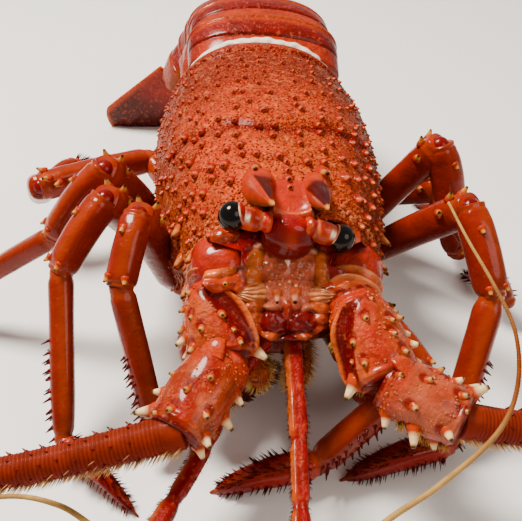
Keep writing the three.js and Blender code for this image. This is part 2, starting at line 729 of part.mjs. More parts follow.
function blade(outline, layer) {
  const flat = new THREE.Shape(outline.map(([x, y]) => new THREE.Vector2(x, y)));
  const geometry = new THREE.ExtrudeGeometry(flat, { depth: FAN_THICKNESS, bevelEnabled: false });
  geometry.translate(0, 0, layer * FAN_LAYER);
  geometry.rotateX(THREE.MathUtils.degToRad(90 + FAN_LEAN));
  geometry.translate(FAN_ROOT.x, FAN_ROOT.y, FAN_ROOT.z);
  return solid(geometry);
}

function fanOutline(inner, outer, length, reachOut) {
  const points = [];
  for (let i = 0; i <= 8; i += 1) {
    const angle = THREE.MathUtils.degToRad(inner + ((outer - inner) * i) / 8);
    const radius = length + reachOut * Math.sin((Math.PI * i) / 8) ** 0.5;
    points.push([Math.sin(angle) * radius, -Math.cos(angle) * radius]);
  }
  return points;
}

function fan() {
  const telson = [[-9, 3], ...fanOutline(-22, 22, 33, 3), [9, 3]];
  const lastRing = shape(abdomenRing(5), GAP);
  node('telson', without(blade(telson, -1), lastRing), GLOSSY_SHELL);
  SIDES.forEach(([name, side]) => {
    const flip = (outline) => outline.map(([x, y]) => [x * side, y]);
    const innerBlade = [[6, -4], ...fanOutline(14, 46, 38, 4), [16, 0]];
    const outerBlade = [[14, -6], ...fanOutline(32, 69, 50, 8), [22, 4]];
    node(`uropod_${name}_inner`, without(blade(flip(innerBlade), 0), lastRing), GLOSSY_SHELL);
    node(`uropod_${name}_outer`, without(blade(flip(outerBlade), 1), lastRing), GLOSSY_SHELL);
  });
}

// The whole animal

node('carapace', fuse([carapace(), ...carapaceSpines()]), SHELL);
node('sternum', sternum(), GLOSSY_SHELL);
node('eye_plate', without(eyePlate(), carapace(GAP), facePlate(GAP)), DARK_RED);
node('face_plate', fuse([without(facePlate(), carapace(GAP)), ...faceSpines()]), SHELL);
SIDES.forEach(([name, side]) => {
  node(`horn_${name}`, without(shape(hornForm(side)), carapace(GAP)), HORN);
  node(`eyestalk_${name}`, without(shape(stalkForm(side)), eyePlate(GAP), carapace(GAP)), GLOSSY_SHELL);
  const eye = ball(eyeCentre(side), [EYE_RADIUS, EYE_RADIUS, EYE_RADIUS], { sides: 9, rows: 6 });
  node(`eye_${name}`, without(eye, shape(stalkForm(side), GAP)), EYE_BLACK);
  const maxilliped = without(shape(maxillipedForm(side)), sternum(GAP), facePlate(GAP), carapace(GAP));
  node(`maxilliped_${name}`, maxilliped, GLOSSY_SHELL);
  antenna(name, side);
  antennule(name);
  for (let index = 0; index < 5; index += 1) {
    leg(name, side, index);
  }
});
abdomen();
fan();

// The origin is the middle of the base
const box = new THREE.Box3().setFromObject(model);
model.position.set(-(box.min.x + box.max.x) / 2, -(box.min.y + box.max.y) / 2, -box.min.z);

export default model;
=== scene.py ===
"""A spiny lobster at life size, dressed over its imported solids.

Lengths are millimetres until a mesh is made.
"""

import math

import bpy
import numpy as np
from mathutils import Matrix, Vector


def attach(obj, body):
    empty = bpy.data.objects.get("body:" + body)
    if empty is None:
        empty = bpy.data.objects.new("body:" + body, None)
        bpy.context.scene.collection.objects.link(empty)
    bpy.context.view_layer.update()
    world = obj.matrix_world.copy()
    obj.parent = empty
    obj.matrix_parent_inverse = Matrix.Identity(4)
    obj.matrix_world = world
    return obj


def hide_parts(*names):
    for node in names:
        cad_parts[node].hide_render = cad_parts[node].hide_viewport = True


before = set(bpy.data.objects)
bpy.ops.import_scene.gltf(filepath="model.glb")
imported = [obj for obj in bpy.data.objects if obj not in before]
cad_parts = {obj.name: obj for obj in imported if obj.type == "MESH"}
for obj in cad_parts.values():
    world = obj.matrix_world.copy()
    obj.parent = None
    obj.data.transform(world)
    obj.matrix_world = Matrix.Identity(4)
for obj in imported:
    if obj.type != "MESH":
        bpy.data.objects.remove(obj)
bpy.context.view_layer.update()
random = np.random.default_rng(11)

MM = 0.001
# Every point stays at least this many metres above the floor
LOWEST = 0.00001
PAINT = "paint"
# The bake map of the bristle pieces, and how wide the patch of each bristle on it is
BAKE_MAP, BAKE_PATCH = "OFBake", 0.003
# From the frame in which the pose was measured to the shared frame
ORIGIN_SHIFT = np.array([-1.50, 24.79, 0.0])
SIDES = (("left", 1), ("right", -1))


def vec(x, y, z):
    return np.array([x, y, z], float)


def unit(v):
    return v / np.maximum(np.linalg.norm(v, axis=-1, keepdims=True), 1e-9)


# How the studio shows pigment: the light's level, the sheen it adds and the tint of that sheen
LIGHT_LEVEL, SHEEN = 1.8, 0.033
SHEEN_TINT = (1.0, 0.5, 0.35, 1.0)


def seen(red, green, blue):
    """Pigment that the studio light shows as the given screen colour, 0 to 255 a channel."""
    value = np.array([red, green, blue]) / 255
    value = np.where(value < 0.04045, value / 12.92, ((value + 0.055) / 1.055) ** 2.4)
    paleness = value.min() / max(value.max(), 1e-6)
    lit = value / (1 - (0.3 + 0.42 * paleness) * value)
    return np.clip((lit - SHEEN) / LIGHT_LEVEL, 0.001, 0.93)


def smooth(low, high, x):
    share = np.clip((x - low) / (high - low), 0, 1)
    return share * share * (3 - 2 * share)


def bell(x, middle, width):
    return np.exp(-(((x - middle) / width) ** 2))


def blend(a, b, share):
    share = np.asarray(share)[..., None]
    return a + (b - a) * share


def wrap(angle):
    """The same angle between minus half a turn and half a turn."""
    return (angle + np.pi) % (2 * np.pi) - np.pi


def full_turn(sides):
    return np.linspace(0, 2 * np.pi, sides, endpoint=False)


# How the body lies

BODY_MIDDLE = vec(2.2, -12, 40)
BODY_YAW = math.radians(4.5)
BODY_ROLL = math.radians(6)


def turn(yaw, roll):
    cz, sz, cy, sy = math.cos(yaw), math.sin(yaw), math.cos(roll), math.sin(roll)
    about_z = np.array([[cz, -sz, 0], [sz, cz, 0], [0, 0, 1]])
    about_y = np.array([[cy, 0, sy], [0, 1, 0], [-sy, 0, cy]])
    return about_z @ about_y


BODY_TURN = turn(BODY_YAW, BODY_ROLL)


def on_body(x, y, z):
    return np.stack(np.broadcast_arrays(x, y, z), -1) @ BODY_TURN.T + BODY_MIDDLE


UP = vec(0, 0, 1)
BODY_UP = BODY_TURN @ UP
BODY_SIDE = BODY_TURN @ vec(1, 0, 0)
BODY_BACK = BODY_TURN @ vec(0, 1, 0)


# Paths and forms

class Path:
    """A line through space, read by share of its length."""

    def __init__(self, points):
        self.points = np.asarray(points, float)
        steps = np.linalg.norm(np.diff(self.points, axis=0), axis=1)
        self.reached = np.concatenate([[0], np.cumsum(steps)])
        self.length = self.reached[-1]

    def at(self, t):
        place = np.asarray(t, float) * self.length
        inside = np.stack([np.interp(place, self.reached, self.points[:, k]) for k in range(3)], -1)
        before = np.minimum(place, 0)[..., None] * unit(self.points[1] - self.points[0])
        after = np.maximum(place - self.length, 0)[..., None] * unit(self.points[-1] - self.points[-2])
        return inside + before + after

    def tangent(self, t):
        t = np.asarray(t, float)
        return unit(self.at(t + 0.01) - self.at(t - 0.01))


def eased(low, high, leave, arrive, u):
    """A smooth step from one value to the next, with a given slope at each end."""
    step = low * (1 - 3 * u ** 2 + 2 * u ** 3) + high * (3 * u ** 2 - 2 * u ** 3)
    return step + leave * (u - 2 * u ** 2 + u ** 3) + arrive * (u ** 3 - u ** 2)


def curve(*points):
    """A centripetal spline through a few points, or the straight line of two."""
    points = np.array(points, float)
    if len(points) == 2:
        return Path(np.linspace(points[0], points[1], 40))
    ends = np.vstack([2 * points[0] - points[1], points, 2 * points[-1] - points[-2]])
    u = np.linspace(0, 1, 60)[:, None]
    spans = []
    for p0, p1, p2, p3 in zip(ends, ends[1:], ends[2:], ends[3:]):
        d0, d1, d2 = (np.linalg.norm(b - a) ** 0.5 for a, b in ((p0, p1), (p1, p2), (p2, p3)))
        leave = ((p1 - p0) / d0 - (p2 - p0) / (d0 + d1) + (p2 - p1) / d1) * d1
        arrive = ((p2 - p1) / d1 - (p3 - p1) / (d1 + d2) + (p3 - p2) / d2) * d1
        spans.append(eased(p1, p2, leave, arrive, u))
    return Path(np.vstack([span[:-1] for span in spans] + [points[-1:]]))


def power(value, exponent):
    return np.sign(value) * np.abs(value) ** exponent


def rows(table, t):
    """Values of a table of rows, place first, eased between the rows."""
    table = np.array(table, float)
    places = table[:, 0]
    slopes = np.gradient(table[:, 1:], places, axis=0)
    index = np.clip(np.searchsorted(places, t) - 1, 0, len(places) - 2)
    width = places[index + 1] - places[index]
    u = np.clip((t - places[index]) / width, 0, 1)[..., None]
    slopes = slopes[index] * width[..., None], slopes[index + 1] * width[..., None]
    low, high = table[index, 1:], table[index + 1, 1:]
    limited = np.clip(eased(low, high, *slopes, u), np.minimum(low, high), np.maximum(low, high))
    return np.moveaxis(limited, -1, 0)


class Form:
    """A section carried along a path. reach(t, angle) gives how far the skin lies to the side and up."""

    def __init__(self, path, reach, up=UP):
        self.path = path
        self.reach = reach
        self.up_way = up

    def axes(self, t):
        centre = self.path.at(t)
        tangent = self.path.tangent(t)
        side = unit(np.cross(tangent, self.up_way))
        return centre, tangent, side, np.cross(side, tangent)

    def skin(self, t, angle):
        t, angle = np.broadcast_arrays(np.asarray(t, float), np.asarray(angle, float))
        centre, _, side, up = self.axes(t)
        across, along = self.reach(t, angle)
        return centre + side * np.asarray(across)[..., None] + up * np.asarray(along)[..., None]

    def normal(self, t, angle):
        t, angle = np.broadcast_arrays(np.asarray(t, float), np.asarray(angle, float))
        along = self.skin(t + 0.012, angle) - self.skin(t - 0.012, angle)
        around = self.skin(t, angle + 0.04) - self.skin(t, angle - 0.04)
        normal = unit(np.cross(around, along))
        out = self.skin(t, angle) - self.path.at(t)
        return normal * np.sign(np.sum(normal * out, -1, keepdims=True))

    def leaning(self, t, angle, along, out=1.0):
        """The way that spines or hairs point when they lean along the path."""
        return self.normal(t, angle) * out + self.path.tangent(t) * along

    def unwrap(self, t, angle):
        """Places on the flat unwrap of this skin."""
        return np.stack([angle / (2 * np.pi) % 1, np.clip(t, 0, 1)], -1)

    def grid(self, count, sides, relief=None):
        t, angle = np.meshgrid(np.linspace(0, 1, count), full_turn(sides), indexing="ij")
        points = self.skin(t, angle)
        if relief is not None:
            points = points + self.normal(t, angle) * relief(t, angle)[..., None]
        return points, t, angle


def limb(path, table, up=UP, squareness=2.0):
    bend = 2 / squareness

    def reach(t, angle):
        half_width, half_height = rows(table, t)
        return half_width * power(np.sin(angle), bend), half_height * power(np.cos(angle), bend)

    return Form(path, reach, up)


def tapered(path, radius):
    """A round form whose radius is a function of the place along its path."""

    def reach(t, angle):
        return radius(t) * np.sin(angle), radius(t) * np.cos(angle)

    return Form(path, reach)


def stained(points, paint, feet, colour, radius, strength):
    """Paint with a soft round stain at each foot."""
    flat = points.reshape(-1, 3)
    share = np.zeros(len(flat))
    for foot in np.atleast_2d(feet):
        share = np.maximum(share, smooth(radius * 1.3, radius * 0.7, np.linalg.norm(flat - foot, axis=1)))
    return blend(paint, colour, strength * share.reshape(points.shape[:-1]))


# Meshes

class Piece:
    """Gathers points, faces and their paint, and makes one mesh of them."""

    def __init__(self, name, look, slot, *nodes):
        self.name, self.look, self.slot, self.nodes = name, look, slot, nodes
        self.points, self.paints, self.quads, self.triangles = [], [], [], []
        self.patches = []
        self.count = 0

    def add(self, points, paint, quads=(), triangles=()):
        points = np.asarray(points, float).reshape(-1, 3)
        paint = np.broadcast_to(paint, (*np.shape(paint)[:-1], 3)).reshape(-1, 3)
        self.points.append(points)
        self.paints.append(np.broadcast_to(paint, points.shape))
        if len(quads):
            self.quads.append(np.asarray(quads).reshape(-1, 4) + self.count)
        if len(triangles):
            self.triangles.append(np.asarray(triangles).reshape(-1, 3) + self.count)
        self.count += len(points)

    def tube(self, points, paint):
        """Rings of points joined into a closed skin, with a point in the middle of each end."""
        n, m = points.shape[:2]
        index = np.arange(n * m).reshape(n, m)
        right = np.roll(index, -1, 1)
        quads = np.stack([index[:-1], right[:-1], right[1:], index[1:]], -1)
        first, last = n * m, n * m + 1
        front = np.stack([np.full(m, first), right[0], index[0]], -1)
        back = np.stack([np.full(m, last), index[-1], right[-1]], -1)
        paint = np.broadcast_to(paint, points.shape)
        middles = [points[0].mean(0), points[-1].mean(0)]
        inks = [paint[0].mean(0), paint[-1].mean(0)]
        self.add(
            np.vstack([points.reshape(-1, 3), middles]), np.vstack([paint.reshape(-1, 3), inks]),
            quads, np.vstack([front, back]),
        )

    def slab(self, top, drop, paint):
        """A thin closed sheet between its top points and the same points sunk by a drop."""
        loop = np.concatenate([top, (top - drop)[:, ::-1]], 1)
        self.tube(loop, np.concatenate([paint, paint[:, ::-1]], 1))

    def tubes(self, points, paint):
        """Many small tubes at once: tube, ring, side."""
        k, n, m = points.shape[:3]
        index = np.arange(k * n * m).reshape(k, n, m)
        right = np.roll(index, -1, 2)
        quads = np.stack([index[:, :-1], right[:, :-1], right[:, 1:], index[:, 1:]], -1)
        tip = k * n * m + np.arange(k)
        tips = points[:, -1].mean(1)
        triangles = np.stack([np.repeat(tip[:, None], m, 1), index[:, -1], right[:, -1]], -1)
        root = tip + k
        roots = points[:, 0].mean(1)
        under = np.stack([np.repeat(root[:, None], m, 1), right[:, 0], index[:, 0]], -1)
        paint = np.broadcast_to(paint, points.shape)
        self.add(
            np.vstack([points.reshape(-1, 3), tips, roots]),
            np.vstack([paint.reshape(-1, 3), paint[:, -1, 0], paint[:, 0, 0]]),
            quads, np.vstack([triangles.reshape(-1, 3), under.reshape(-1, 3)]),
        )

    def mesh(self):
        points = (np.vstack(self.points) + ORIGIN_SHIFT) * MM
        points[:, 2] = np.maximum(points[:, 2], LOWEST)
        faces = [np.vstack(f) for f in (self.quads, self.triangles) if f]
        loops = np.concatenate([f.reshape(-1) for f in faces])
        totals = np.concatenate([np.full(len(f), f.shape[1]) for f in faces])
        starts = np.concatenate([[0], np.cumsum(totals)[:-1]])
        mesh = bpy.data.meshes.new(self.name)
        mesh.vertices.add(len(points))
        mesh.vertices.foreach_set("co", points.reshape(-1))
        mesh.loops.add(len(loops))
        mesh.loops.foreach_set("vertex_index", loops.astype(np.int32))
        mesh.polygons.add(len(totals))
        mesh.polygons.foreach_set("loop_start", starts.astype(np.int32))
        mesh.polygons.foreach_set("loop_total", totals.astype(np.int32))
        mesh.update(calc_edges=True)
        mesh.validate()
        mesh.polygons.foreach_set("use_smooth", np.ones(len(totals), bool))
        return mesh

    def make(self):
        """Makes the painted mesh and puts it in the scene."""
        mesh = self.mesh()
        paint = mesh.color_attributes.new(name=PAINT, type="FLOAT_COLOR", domain="POINT")
        colours = np.hstack([np.vstack(self.paints), np.ones((self.count, 1))])
        paint.data.foreach_set("color", np.clip(colours, 0, 1).reshape(-1))
        if self.patches:
            corners = np.empty(len(mesh.loops), np.int32)
            mesh.loops.foreach_get("vertex_index", corners)
            places = np.vstack(self.patches)[corners]
            mesh.uv_layers.new(name=BAKE_MAP).data.foreach_set("uv", places.reshape(-1))
        mesh.materials.append(self.look)
        piece = bpy.data.objects.new(self.name, mesh)
        bpy.context.scene.collection.objects.link(piece)
        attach(piece, "root")
        if self.nodes:
            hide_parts(*self.nodes)


def cones(feet, ways, lengths, radii, places, widths, sides, bend=0.0, helper=None):
    """Points of many small cones: cone, ring, side. Places and widths are shares of length and radius."""
    if helper is None:
        helper = np.where(np.abs(ways[:, 2:3]) > 0.9, vec(1, 0, 0), UP)
    side = unit(np.cross(ways, helper))
    up = np.cross(side, ways)
    turns = full_turn(sides)[None, :, None]
    ring = side[:, None, :] * np.sin(turns) + up[:, None, :] * np.cos(turns)
    rise = lengths[:, None] * places
    middles = feet[:, None, :] + ways[:, None, :] * rise[..., None] + bend
    return middles[:, :, None, :] + ring[:, None] * (radii[:, None] * widths)[..., None, None]


def thorns(piece, feet, ways, lengths, radii, inks, sides=7, blunt=0.3, hook=None):
    """Conical spines: a flared foot sunk in the skin, a collar and a tip, each with its own paint."""
    feet, ways = np.atleast_2d(feet), unit(np.atleast_2d(ways))
    lengths = np.broadcast_to(lengths, len(feet))
    radii = np.broadcast_to(radii, len(feet))
    places = np.array([-0.35, 0.0, 0.2, 0.5, 0.78, 0.94, 1.0])
    widths = np.array([1.5, 1.3, 0.95, 0.7, 0.5, 0.36, 0.16 + blunt * 0.4])
    bend = 0.0
    if hook is not None:
        bend = (np.maximum(places, 0) ** 2)[None, :, None] * (lengths[:, None, None] * hook)
    points = cones(feet, ways, lengths, radii, places, widths, sides, bend)
    foot, collar, tip = inks
    paint = np.stack([foot] * 3 + [collar] * 2 + [tip] * 2)
    piece.tubes(points, paint[None, :, None, :])


def hairs(piece, form, t, angle, ways, lengths, radius, root, tip, sides=3):
    """Bristles: thin cones, each a small patch at its root's place on the unwrapped skin."""
    ways = unit(ways)
    lengths = np.broadcast_to(lengths, len(t))
    radii = np.full(len(t), radius)
    places = np.array([-0.1, 0.35, 0.7, 1.0])
    widths = np.array([1.0, 0.8, 0.5, 0.08])
    shares = np.clip(places, 0, 1)
    points = cones(form.skin(t, angle), ways, lengths, radii, places, widths, sides)
    piece.tubes(points, blend(root, tip, shares)[None, :, None, :])
    turns = full_turn(sides)
    reach = BAKE_PATCH / 2 * (1 - shares * 0.8)
    disc = reach[:, None, None] * np.stack([np.sin(turns), np.cos(turns)], -1)
    unwrapped = form.unwrap(t, angle)
    patch = unwrapped[:, None, None, :] + disc
    piece.patches += [patch.reshape(-1, 2), unwrapped, unwrapped]


# Materials

class Look:
    """A material whose colour starts from the paint of the mesh."""

    def __init__(self, name):
        self.material = bpy.data.materials.new(name)
        self.material.use_nodes = True
        self.tree = self.material.node_tree
        self.shader = self.tree.nodes["Principled BSDF"]
        self.place = self.node("ShaderNodeTexCoord").outputs["Object"]
        self.colour = self.node("ShaderNodeVertexColor", layer_name=PAINT).outputs["Color"]

    def node(self, kind, inputs=None, **settings):
        made = self.tree.nodes.new(kind)
        for key, value in settings.items():
            setattr(made, key, value)
        for key, value in (inputs or {}).items():
            self.put(made.inputs[key], value)
        return made

    def put(self, socket, value):
        if isinstance(value, bpy.types.NodeSocket):
            self.tree.links.new(value, socket)
        else:
            socket.default_value = value

    def noise(self, scale, detail=3.0, distortion=0.0):
        return self.node(
            "ShaderNodeTexNoise",
            {"Vector": self.place, "Scale": scale, "Detail": detail, "Distortion": distortion},
        ).outputs["Fac"]

    def cells(self, scale):
        return self.node("ShaderNodeTexVoronoi", {"Vector": self.place, "Scale": scale}).outputs["Distance"]

    def ramp(self, value, low, high, dark=0.0, light=1.0):
        return self.node(
            "ShaderNodeMapRange",
            {"Value": value, "From Min": low, "From Max": high, "To Min": dark, "To Max": light},
            interpolation_type="SMOOTHSTEP",
        ).outputs["Result"]

    def mix(self, share, a, b, way="MIX"):
        """Mixes two colours; the node's colour sockets are its seventh and eighth."""
        made = self.node("ShaderNodeMix", data_type="RGBA", blend_type=way)
        for index, value in ((0, share), (6, a), (7, b)):
            if not isinstance(value, bpy.types.NodeSocket) and index:
                value = (*value, 1.0)
            self.put(made.inputs[index], value)
        return made.outputs[2]

    def shade(self, factor):
        """Multiplies the colour by a number that changes over the surface."""
        channels = {"Red": factor, "Green": factor, "Blue": factor}
        grey = self.node("ShaderNodeCombineColor", channels).outputs["Color"]
        self.colour = self.mix(1.0, self.colour, grey, "MULTIPLY")

    def stain(self, share, colour):
        self.colour = self.mix(share, self.colour, colour)

    def sum(self, a, b, share):
        scaled = self.node("ShaderNodeMath", {0: b, 1: share}, operation="MULTIPLY").outputs[0]
        return self.node("ShaderNodeMath", {0: a, 1: scaled}, operation="ADD").outputs[0]

    def finish(self, roughness, height=None, depth=0.0003, strength=0.5, coat=0.0, gloss_noise=None):
        shader = self.shader.inputs
        shader["Specular IOR Level"].default_value = 0.1
        shader["Specular Tint"].default_value = SHEEN_TINT
        self.put(shader["Base Color"], self.colour)
        if gloss_noise is None:
            shader["Roughness"].default_value = roughness
        else:
            self.put(shader["Roughness"], self.ramp(gloss_noise, 0.3, 0.7, roughness * 0.75, roughness * 1.3))
        shader["Coat Weight"].default_value = coat
        shader["Coat Roughness"].default_value = 0.12
        if height is not None:
            bump = self.node("ShaderNodeBump", {"Height": height, "Strength": strength, "Distance": depth})
            self.put(shader["Normal"], bump.outputs["Normal"])
        return self.material


def granular_look():
    look = Look("granular_shell")
    grains = look.cells(620)
    pits = look.cells(1050)
    specks = look.cells(1500)
    look.shade(look.ramp(look.noise(90, 4), 0.25, 0.75, 0.74, 1.24))
    look.stain(look.ramp(look.noise(420, 4), 0.52, 0.68, 0.0, 0.45), seen(228, 136, 88))
    look.stain(look.ramp(look.noise(520, 4), 0.5, 0.34, 0.0, 0.5), seen(132, 40, 12))
    look.stain(look.ramp(specks, 0.42, 0.2, 0.0, 0.5), seen(230, 140, 92))
    look.stain(look.ramp(pits, 0.42, 0.16, 0.0, 0.8), seen(98, 32, 10))
    height = look.sum(look.ramp(grains, 0.0, 0.6, 1.0, 0.0), look.ramp(pits, 0.1, 0.4, 0.0, 1.0), 0.8)
    height = look.sum(height, look.noise(1500, 2), 0.4)
    return look.finish(0.5, height, 0.0005, 0.8, 0.04, look.noise(400, 2))


def smooth_look():
    look = Look("smooth_shell")
    look.shade(look.ramp(look.noise(130, 5, 0.8), 0.25, 0.75, 0.72, 1.24))
    look.stain(look.ramp(look.cells(640), 0.2, 0.04, 0.0, 0.4), seen(110, 24, 8))
    look.stain(look.ramp(look.noise(700, 3), 0.54, 0.7, 0.0, 0.34), seen(222, 120, 80))
    height = look.sum(look.noise(420, 4), look.noise(1100, 3), 0.5)
    return look.finish(0.3, height, 0.0012, 0.6, 0.24, look.noise(300, 2))


def leg_look():
    look = Look("leg_shell")
    look.shade(look.ramp(look.noise(150, 4, 0.5), 0.25, 0.75, 0.82, 1.14))
    look.stain(look.ramp(look.noise(620, 3), 0.6, 0.75, 0.0, 0.25), seen(206, 104, 64))
    height = look.sum(look.noise(420, 4), look.noise(1300, 2), 0.4)
    return look.finish(0.26, height, 0.0006, 0.45, 0.3, look.noise(300, 2))


def glossy_look():
    look = Look("glossy_membrane")
    look.shade(look.ramp(look.noise(160, 4, 1.0), 0.25, 0.75, 0.72, 1.25))
    height = look.sum(look.noise(300, 5, 1.2), look.noise(1100, 3), 0.3)
    return look.finish(0.22, height, 0.0011, 0.6, 0.4, look.noise(200, 2))


def spine_look():
    look = Look("spine")
    look.shade(look.ramp(look.noise(500, 2), 0.3, 0.7, 0.85, 1.15))
    return look.finish(0.3, look.noise(1800, 2), 0.0001, 0.3, 0.15)


def feeler_look():
    look = Look("feeler")
    look.shade(look.ramp(look.noise(240, 4), 0.25, 0.75, 0.78, 1.24))
    look.stain(look.ramp(look.noise(75, 3), 0.62, 0.72, 0.0, 0.5), seen(200, 170, 150))
    return look.finish(0.62, look.noise(1400, 2), 0.0002, 0.5, 0.03)


def whip_look():
    look = Look("whip")
    look.shade(look.ramp(look.noise(500, 3), 0.3, 0.7, 0.85, 1.15))
    return look.finish(0.45, look.noise(2500, 2), 0.0001, 0.4)


def hair_look():
    look = Look("bristle")
    look.shade(look.ramp(look.noise(700, 2), 0.3, 0.7, 0.75, 1.2))
    return look.finish(0.4)


def eye_look():
    look = Look("eye")
    look.stain(look.ramp(look.noise(260, 2), 0.55, 0.75, 0.0, 0.5), seen(44, 46, 36))
    return look.finish(0.12, look.noise(600, 3), 0.0001, 0.15, 0.35)


def white_look():
    look = Look("white_membrane")
    look.shade(look.ramp(look.noise(350, 4), 0.25, 0.75, 0.85, 1.05))
    return look.finish(0.4, look.noise(500, 4), 0.0006, 0.6, 0.2)


GRANULAR = granular_look()
SMOOTH = smooth_look()
LEG = leg_look()
GLOSSY = glossy_look()
SPINE = spine_look()
FEELER = feeler_look()
WHIP = whip_look()
BRISTLE = hair_look()
EYE = eye_look()
WHITE = white_look()

# Paint

YELLOWED = seen(206, 92, 26)
DARK = seen(112, 8, 4)
GOLD = seen(224, 160, 78)
THORN_DARK = seen(74, 28, 14)
GROOVE = seen(140, 34, 12)

# Carapace

BROW, REAR_RIM = -47, 51
CARAPACE_HALF_WIDTH, WIDEST_AT, FRONT_NARROWING, REAR_NARROWING = 36, 22, 11, 5
CARAPACE_TOP, HIGHEST_AT, FRONT_FALL, REAR_FALL = 35, 12, 7, 3
CARAPACE_UNDERSIDE = -14
GRAIN_COUNT = 5200
EYE_CENTRES = {"left": on_body(11.6, BROW - 3.6, 24.2), "right": on_body(-16.4, BROW - 3, 29.3)}
ORBIT = vec(6.6, 5.6, 5.2)


def arched(y, peak, at, front_drop, rear_drop):
    front = ((at - y) / (at - BROW)) ** 2 * front_drop
    rear = ((y - at) / (REAR_RIM - at)) ** 2 * rear_drop
    return peak - np.where(y < at, front, rear)


def down_shell(t):
    """The body's y at a place along the shell."""
    return BROW + (REAR_RIM - BROW) * t


def neck_groove(angle):
    """The body's y of the groove that curves over the shell."""
    return -9 + 8 * np.sin(angle) ** 2 - 3 * bell(angle, 0, 0.2)


def carapace_reach(t, angle):
    y = down_shell(t)
    sin, cos = np.sin(angle), np.cos(angle)
    half_width = arched(y, CARAPACE_HALF_WIDTH, WIDEST_AT, FRONT_NARROWING, REAR_NARROWING)
    top = arched(y, CARAPACE_TOP, HIGHEST_AT, FRONT_FALL, REAR_FALL)
    bend = 2 / np.where(cos > 0, 2.3, 3.5)
    height = np.where(cos > 0, top, -CARAPACE_UNDERSIDE)
    return half_width * power(sin, bend), height * power(cos, bend)


CARAPACE = Form(curve(on_body(0, BROW, 0), on_body(0, REAR_RIM, 0)), carapace_reach, BODY_UP)


def carapace_relief(t, angle):
    """Grooves, the rear rim, the smooth saddle between the horns and a low crumple."""
    angle = wrap(angle)
    y = down_shell(t)
    fade = np.maximum(0, np.cos(angle)) ** 0.4
    wander = 1.2 * np.sin(7 * angle) + 0.8 * np.sin(13 * angle + 1)
    neck = neck_groove(angle) + wander * 0.5
    relief = -1.0 * bell(y, neck, 3.0) * fade
    relief = relief + 0.3 * bell(y, neck + 5.5, 4) * fade
    side_groove = -26 + 18 * np.abs(np.sin(angle)) ** 1.5
    relief = relief - 0.7 * bell(y, side_groove, 2.5) * smooth(0.45, 0.7, np.abs(angle)) * fade
    relief = relief + 0.9 * smooth(REAR_RIM - 5.6, REAR_RIM - 4.8, y)
    relief = relief - 0.9 * bell(y, REAR_RIM - 6.6, 0.9)
    relief = relief - 0.5 * smooth(REAR_RIM - 1.0, REAR_RIM, y)
    return relief - 2.2 * smooth(-34, -38, y) * smooth(0.26, 0.18, np.abs(angle + 0.03))


def carapace_paint(t, angle):
    angle = wrap(angle)
    y = down_shell(t)
    paint = blend(seen(200, 78, 34), seen(172, 78, 40), smooth(0.5, 1.3, np.abs(angle)))
    paint = blend(paint, seen(168, 64, 28), 0.6 * smooth(0, 40, y))
    # Darker towards the rear. The lobster's left flank, turned away from the key lamp, is painted darker as
    # shade, and darker still near the front.
    paint = paint * (1 - 0.46 * smooth(-6, 34, y) - 0.44 * smooth(0.05, 0.8, np.sin(angle)))[..., None]
    paint = paint * (1 - 0.2 * smooth(-20, -34, y) * smooth(0.1, 0.6, np.sin(angle)))[..., None]
    paint = blend(paint, YELLOWED, 0.75 * bell(y, -22, 12) * bell(angle, 0.08, 0.34))
    paint = blend(paint, seen(212, 88, 50), 0.7 * bell(y, -36, 9) * bell(np.abs(angle), 0.45, 0.3))
    paint = blend(paint, GROOVE, bell(y, neck_groove(angle), 2.2) * np.maximum(0, np.cos(angle)))
    paint = blend(paint, GROOVE, 0.8 * bell(y, REAR_RIM - 6.6, 1.2))
    return blend(paint, seen(172, 62, 22), smooth(REAR_RIM - 5.6, REAR_RIM - 4.8, y))


# Rows of the spines that show from the front, by angle, then place along the shell
PLACED_SPINES = (
    (-4, (0.84, 0.78, 0.7, 0.63, 0.565, 0.5, 0.44, 0.375, 0.31, 0.25)),
    (7, (0.86, 0.8, 0.73, 0.66, 0.59, 0.53, 0.46, 0.4, 0.34, 0.28, 0.22)),
    (-13, (0.85, 0.76, 0.68, 0.6, 0.52, 0.46, 0.39, 0.31, 0.24)),
    (-21, (0.87, 0.79, 0.71, 0.65, 0.57, 0.49, 0.41, 0.33, 0.255)),
    (17, (0.84, 0.76, 0.68, 0.6, 0.52, 0.45, 0.37, 0.3, 0.22)),
    (27, (0.87, 0.79, 0.71, 0.63, 0.55, 0.48, 0.41, 0.34, 0.26, 0.18)),
    (-30, (0.83, 0.75, 0.66, 0.59, 0.52, 0.45, 0.37, 0.3, 0.22, 0.16)),
    (-40, (0.86, 0.77, 0.7, 0.63, 0.55, 0.48, 0.41, 0.34, 0.26, 0.19)),
    (37, (0.82, 0.74, 0.67, 0.59, 0.51, 0.44, 0.37, 0.3, 0.22, 0.15)),
)


# The large spines beside the sockets: place along the shell and degrees from the top
CHEEK_SPINES = ((0.1, 82), (0.04, 70), (0.17, 74), (0.02, 88))


def shell_spines():
    """Place, angle and size of each spine: the placed rows, then even rows down the flanks."""
    places = [(t, degrees) for degrees, row in PLACED_SPINES for t in row]
    for row in range(15):
        t = 0.88 - row * 0.06
        for way in (-1, 1):
            places += [(t, way * degrees) for degrees in np.arange(46 + 4 * (row % 2), 100, 8)]
    t, degrees = np.array(places).T
    t = t + random.normal(0, 0.013, len(t))
    angle = np.radians(degrees + random.normal(0, 2.6, len(t)))
    flank = smooth(45, 60, np.abs(degrees))
    size = (1 - 0.25 * flank) * (1 + 0.25 * bell(t, 0.465, 0.03)) * (0.72 + 0.4 * smooth(0.6, 0.1, t))
    return t, angle, size * random.uniform(0.85, 1.15, len(t))


SHELL_SPINES = shell_spines()


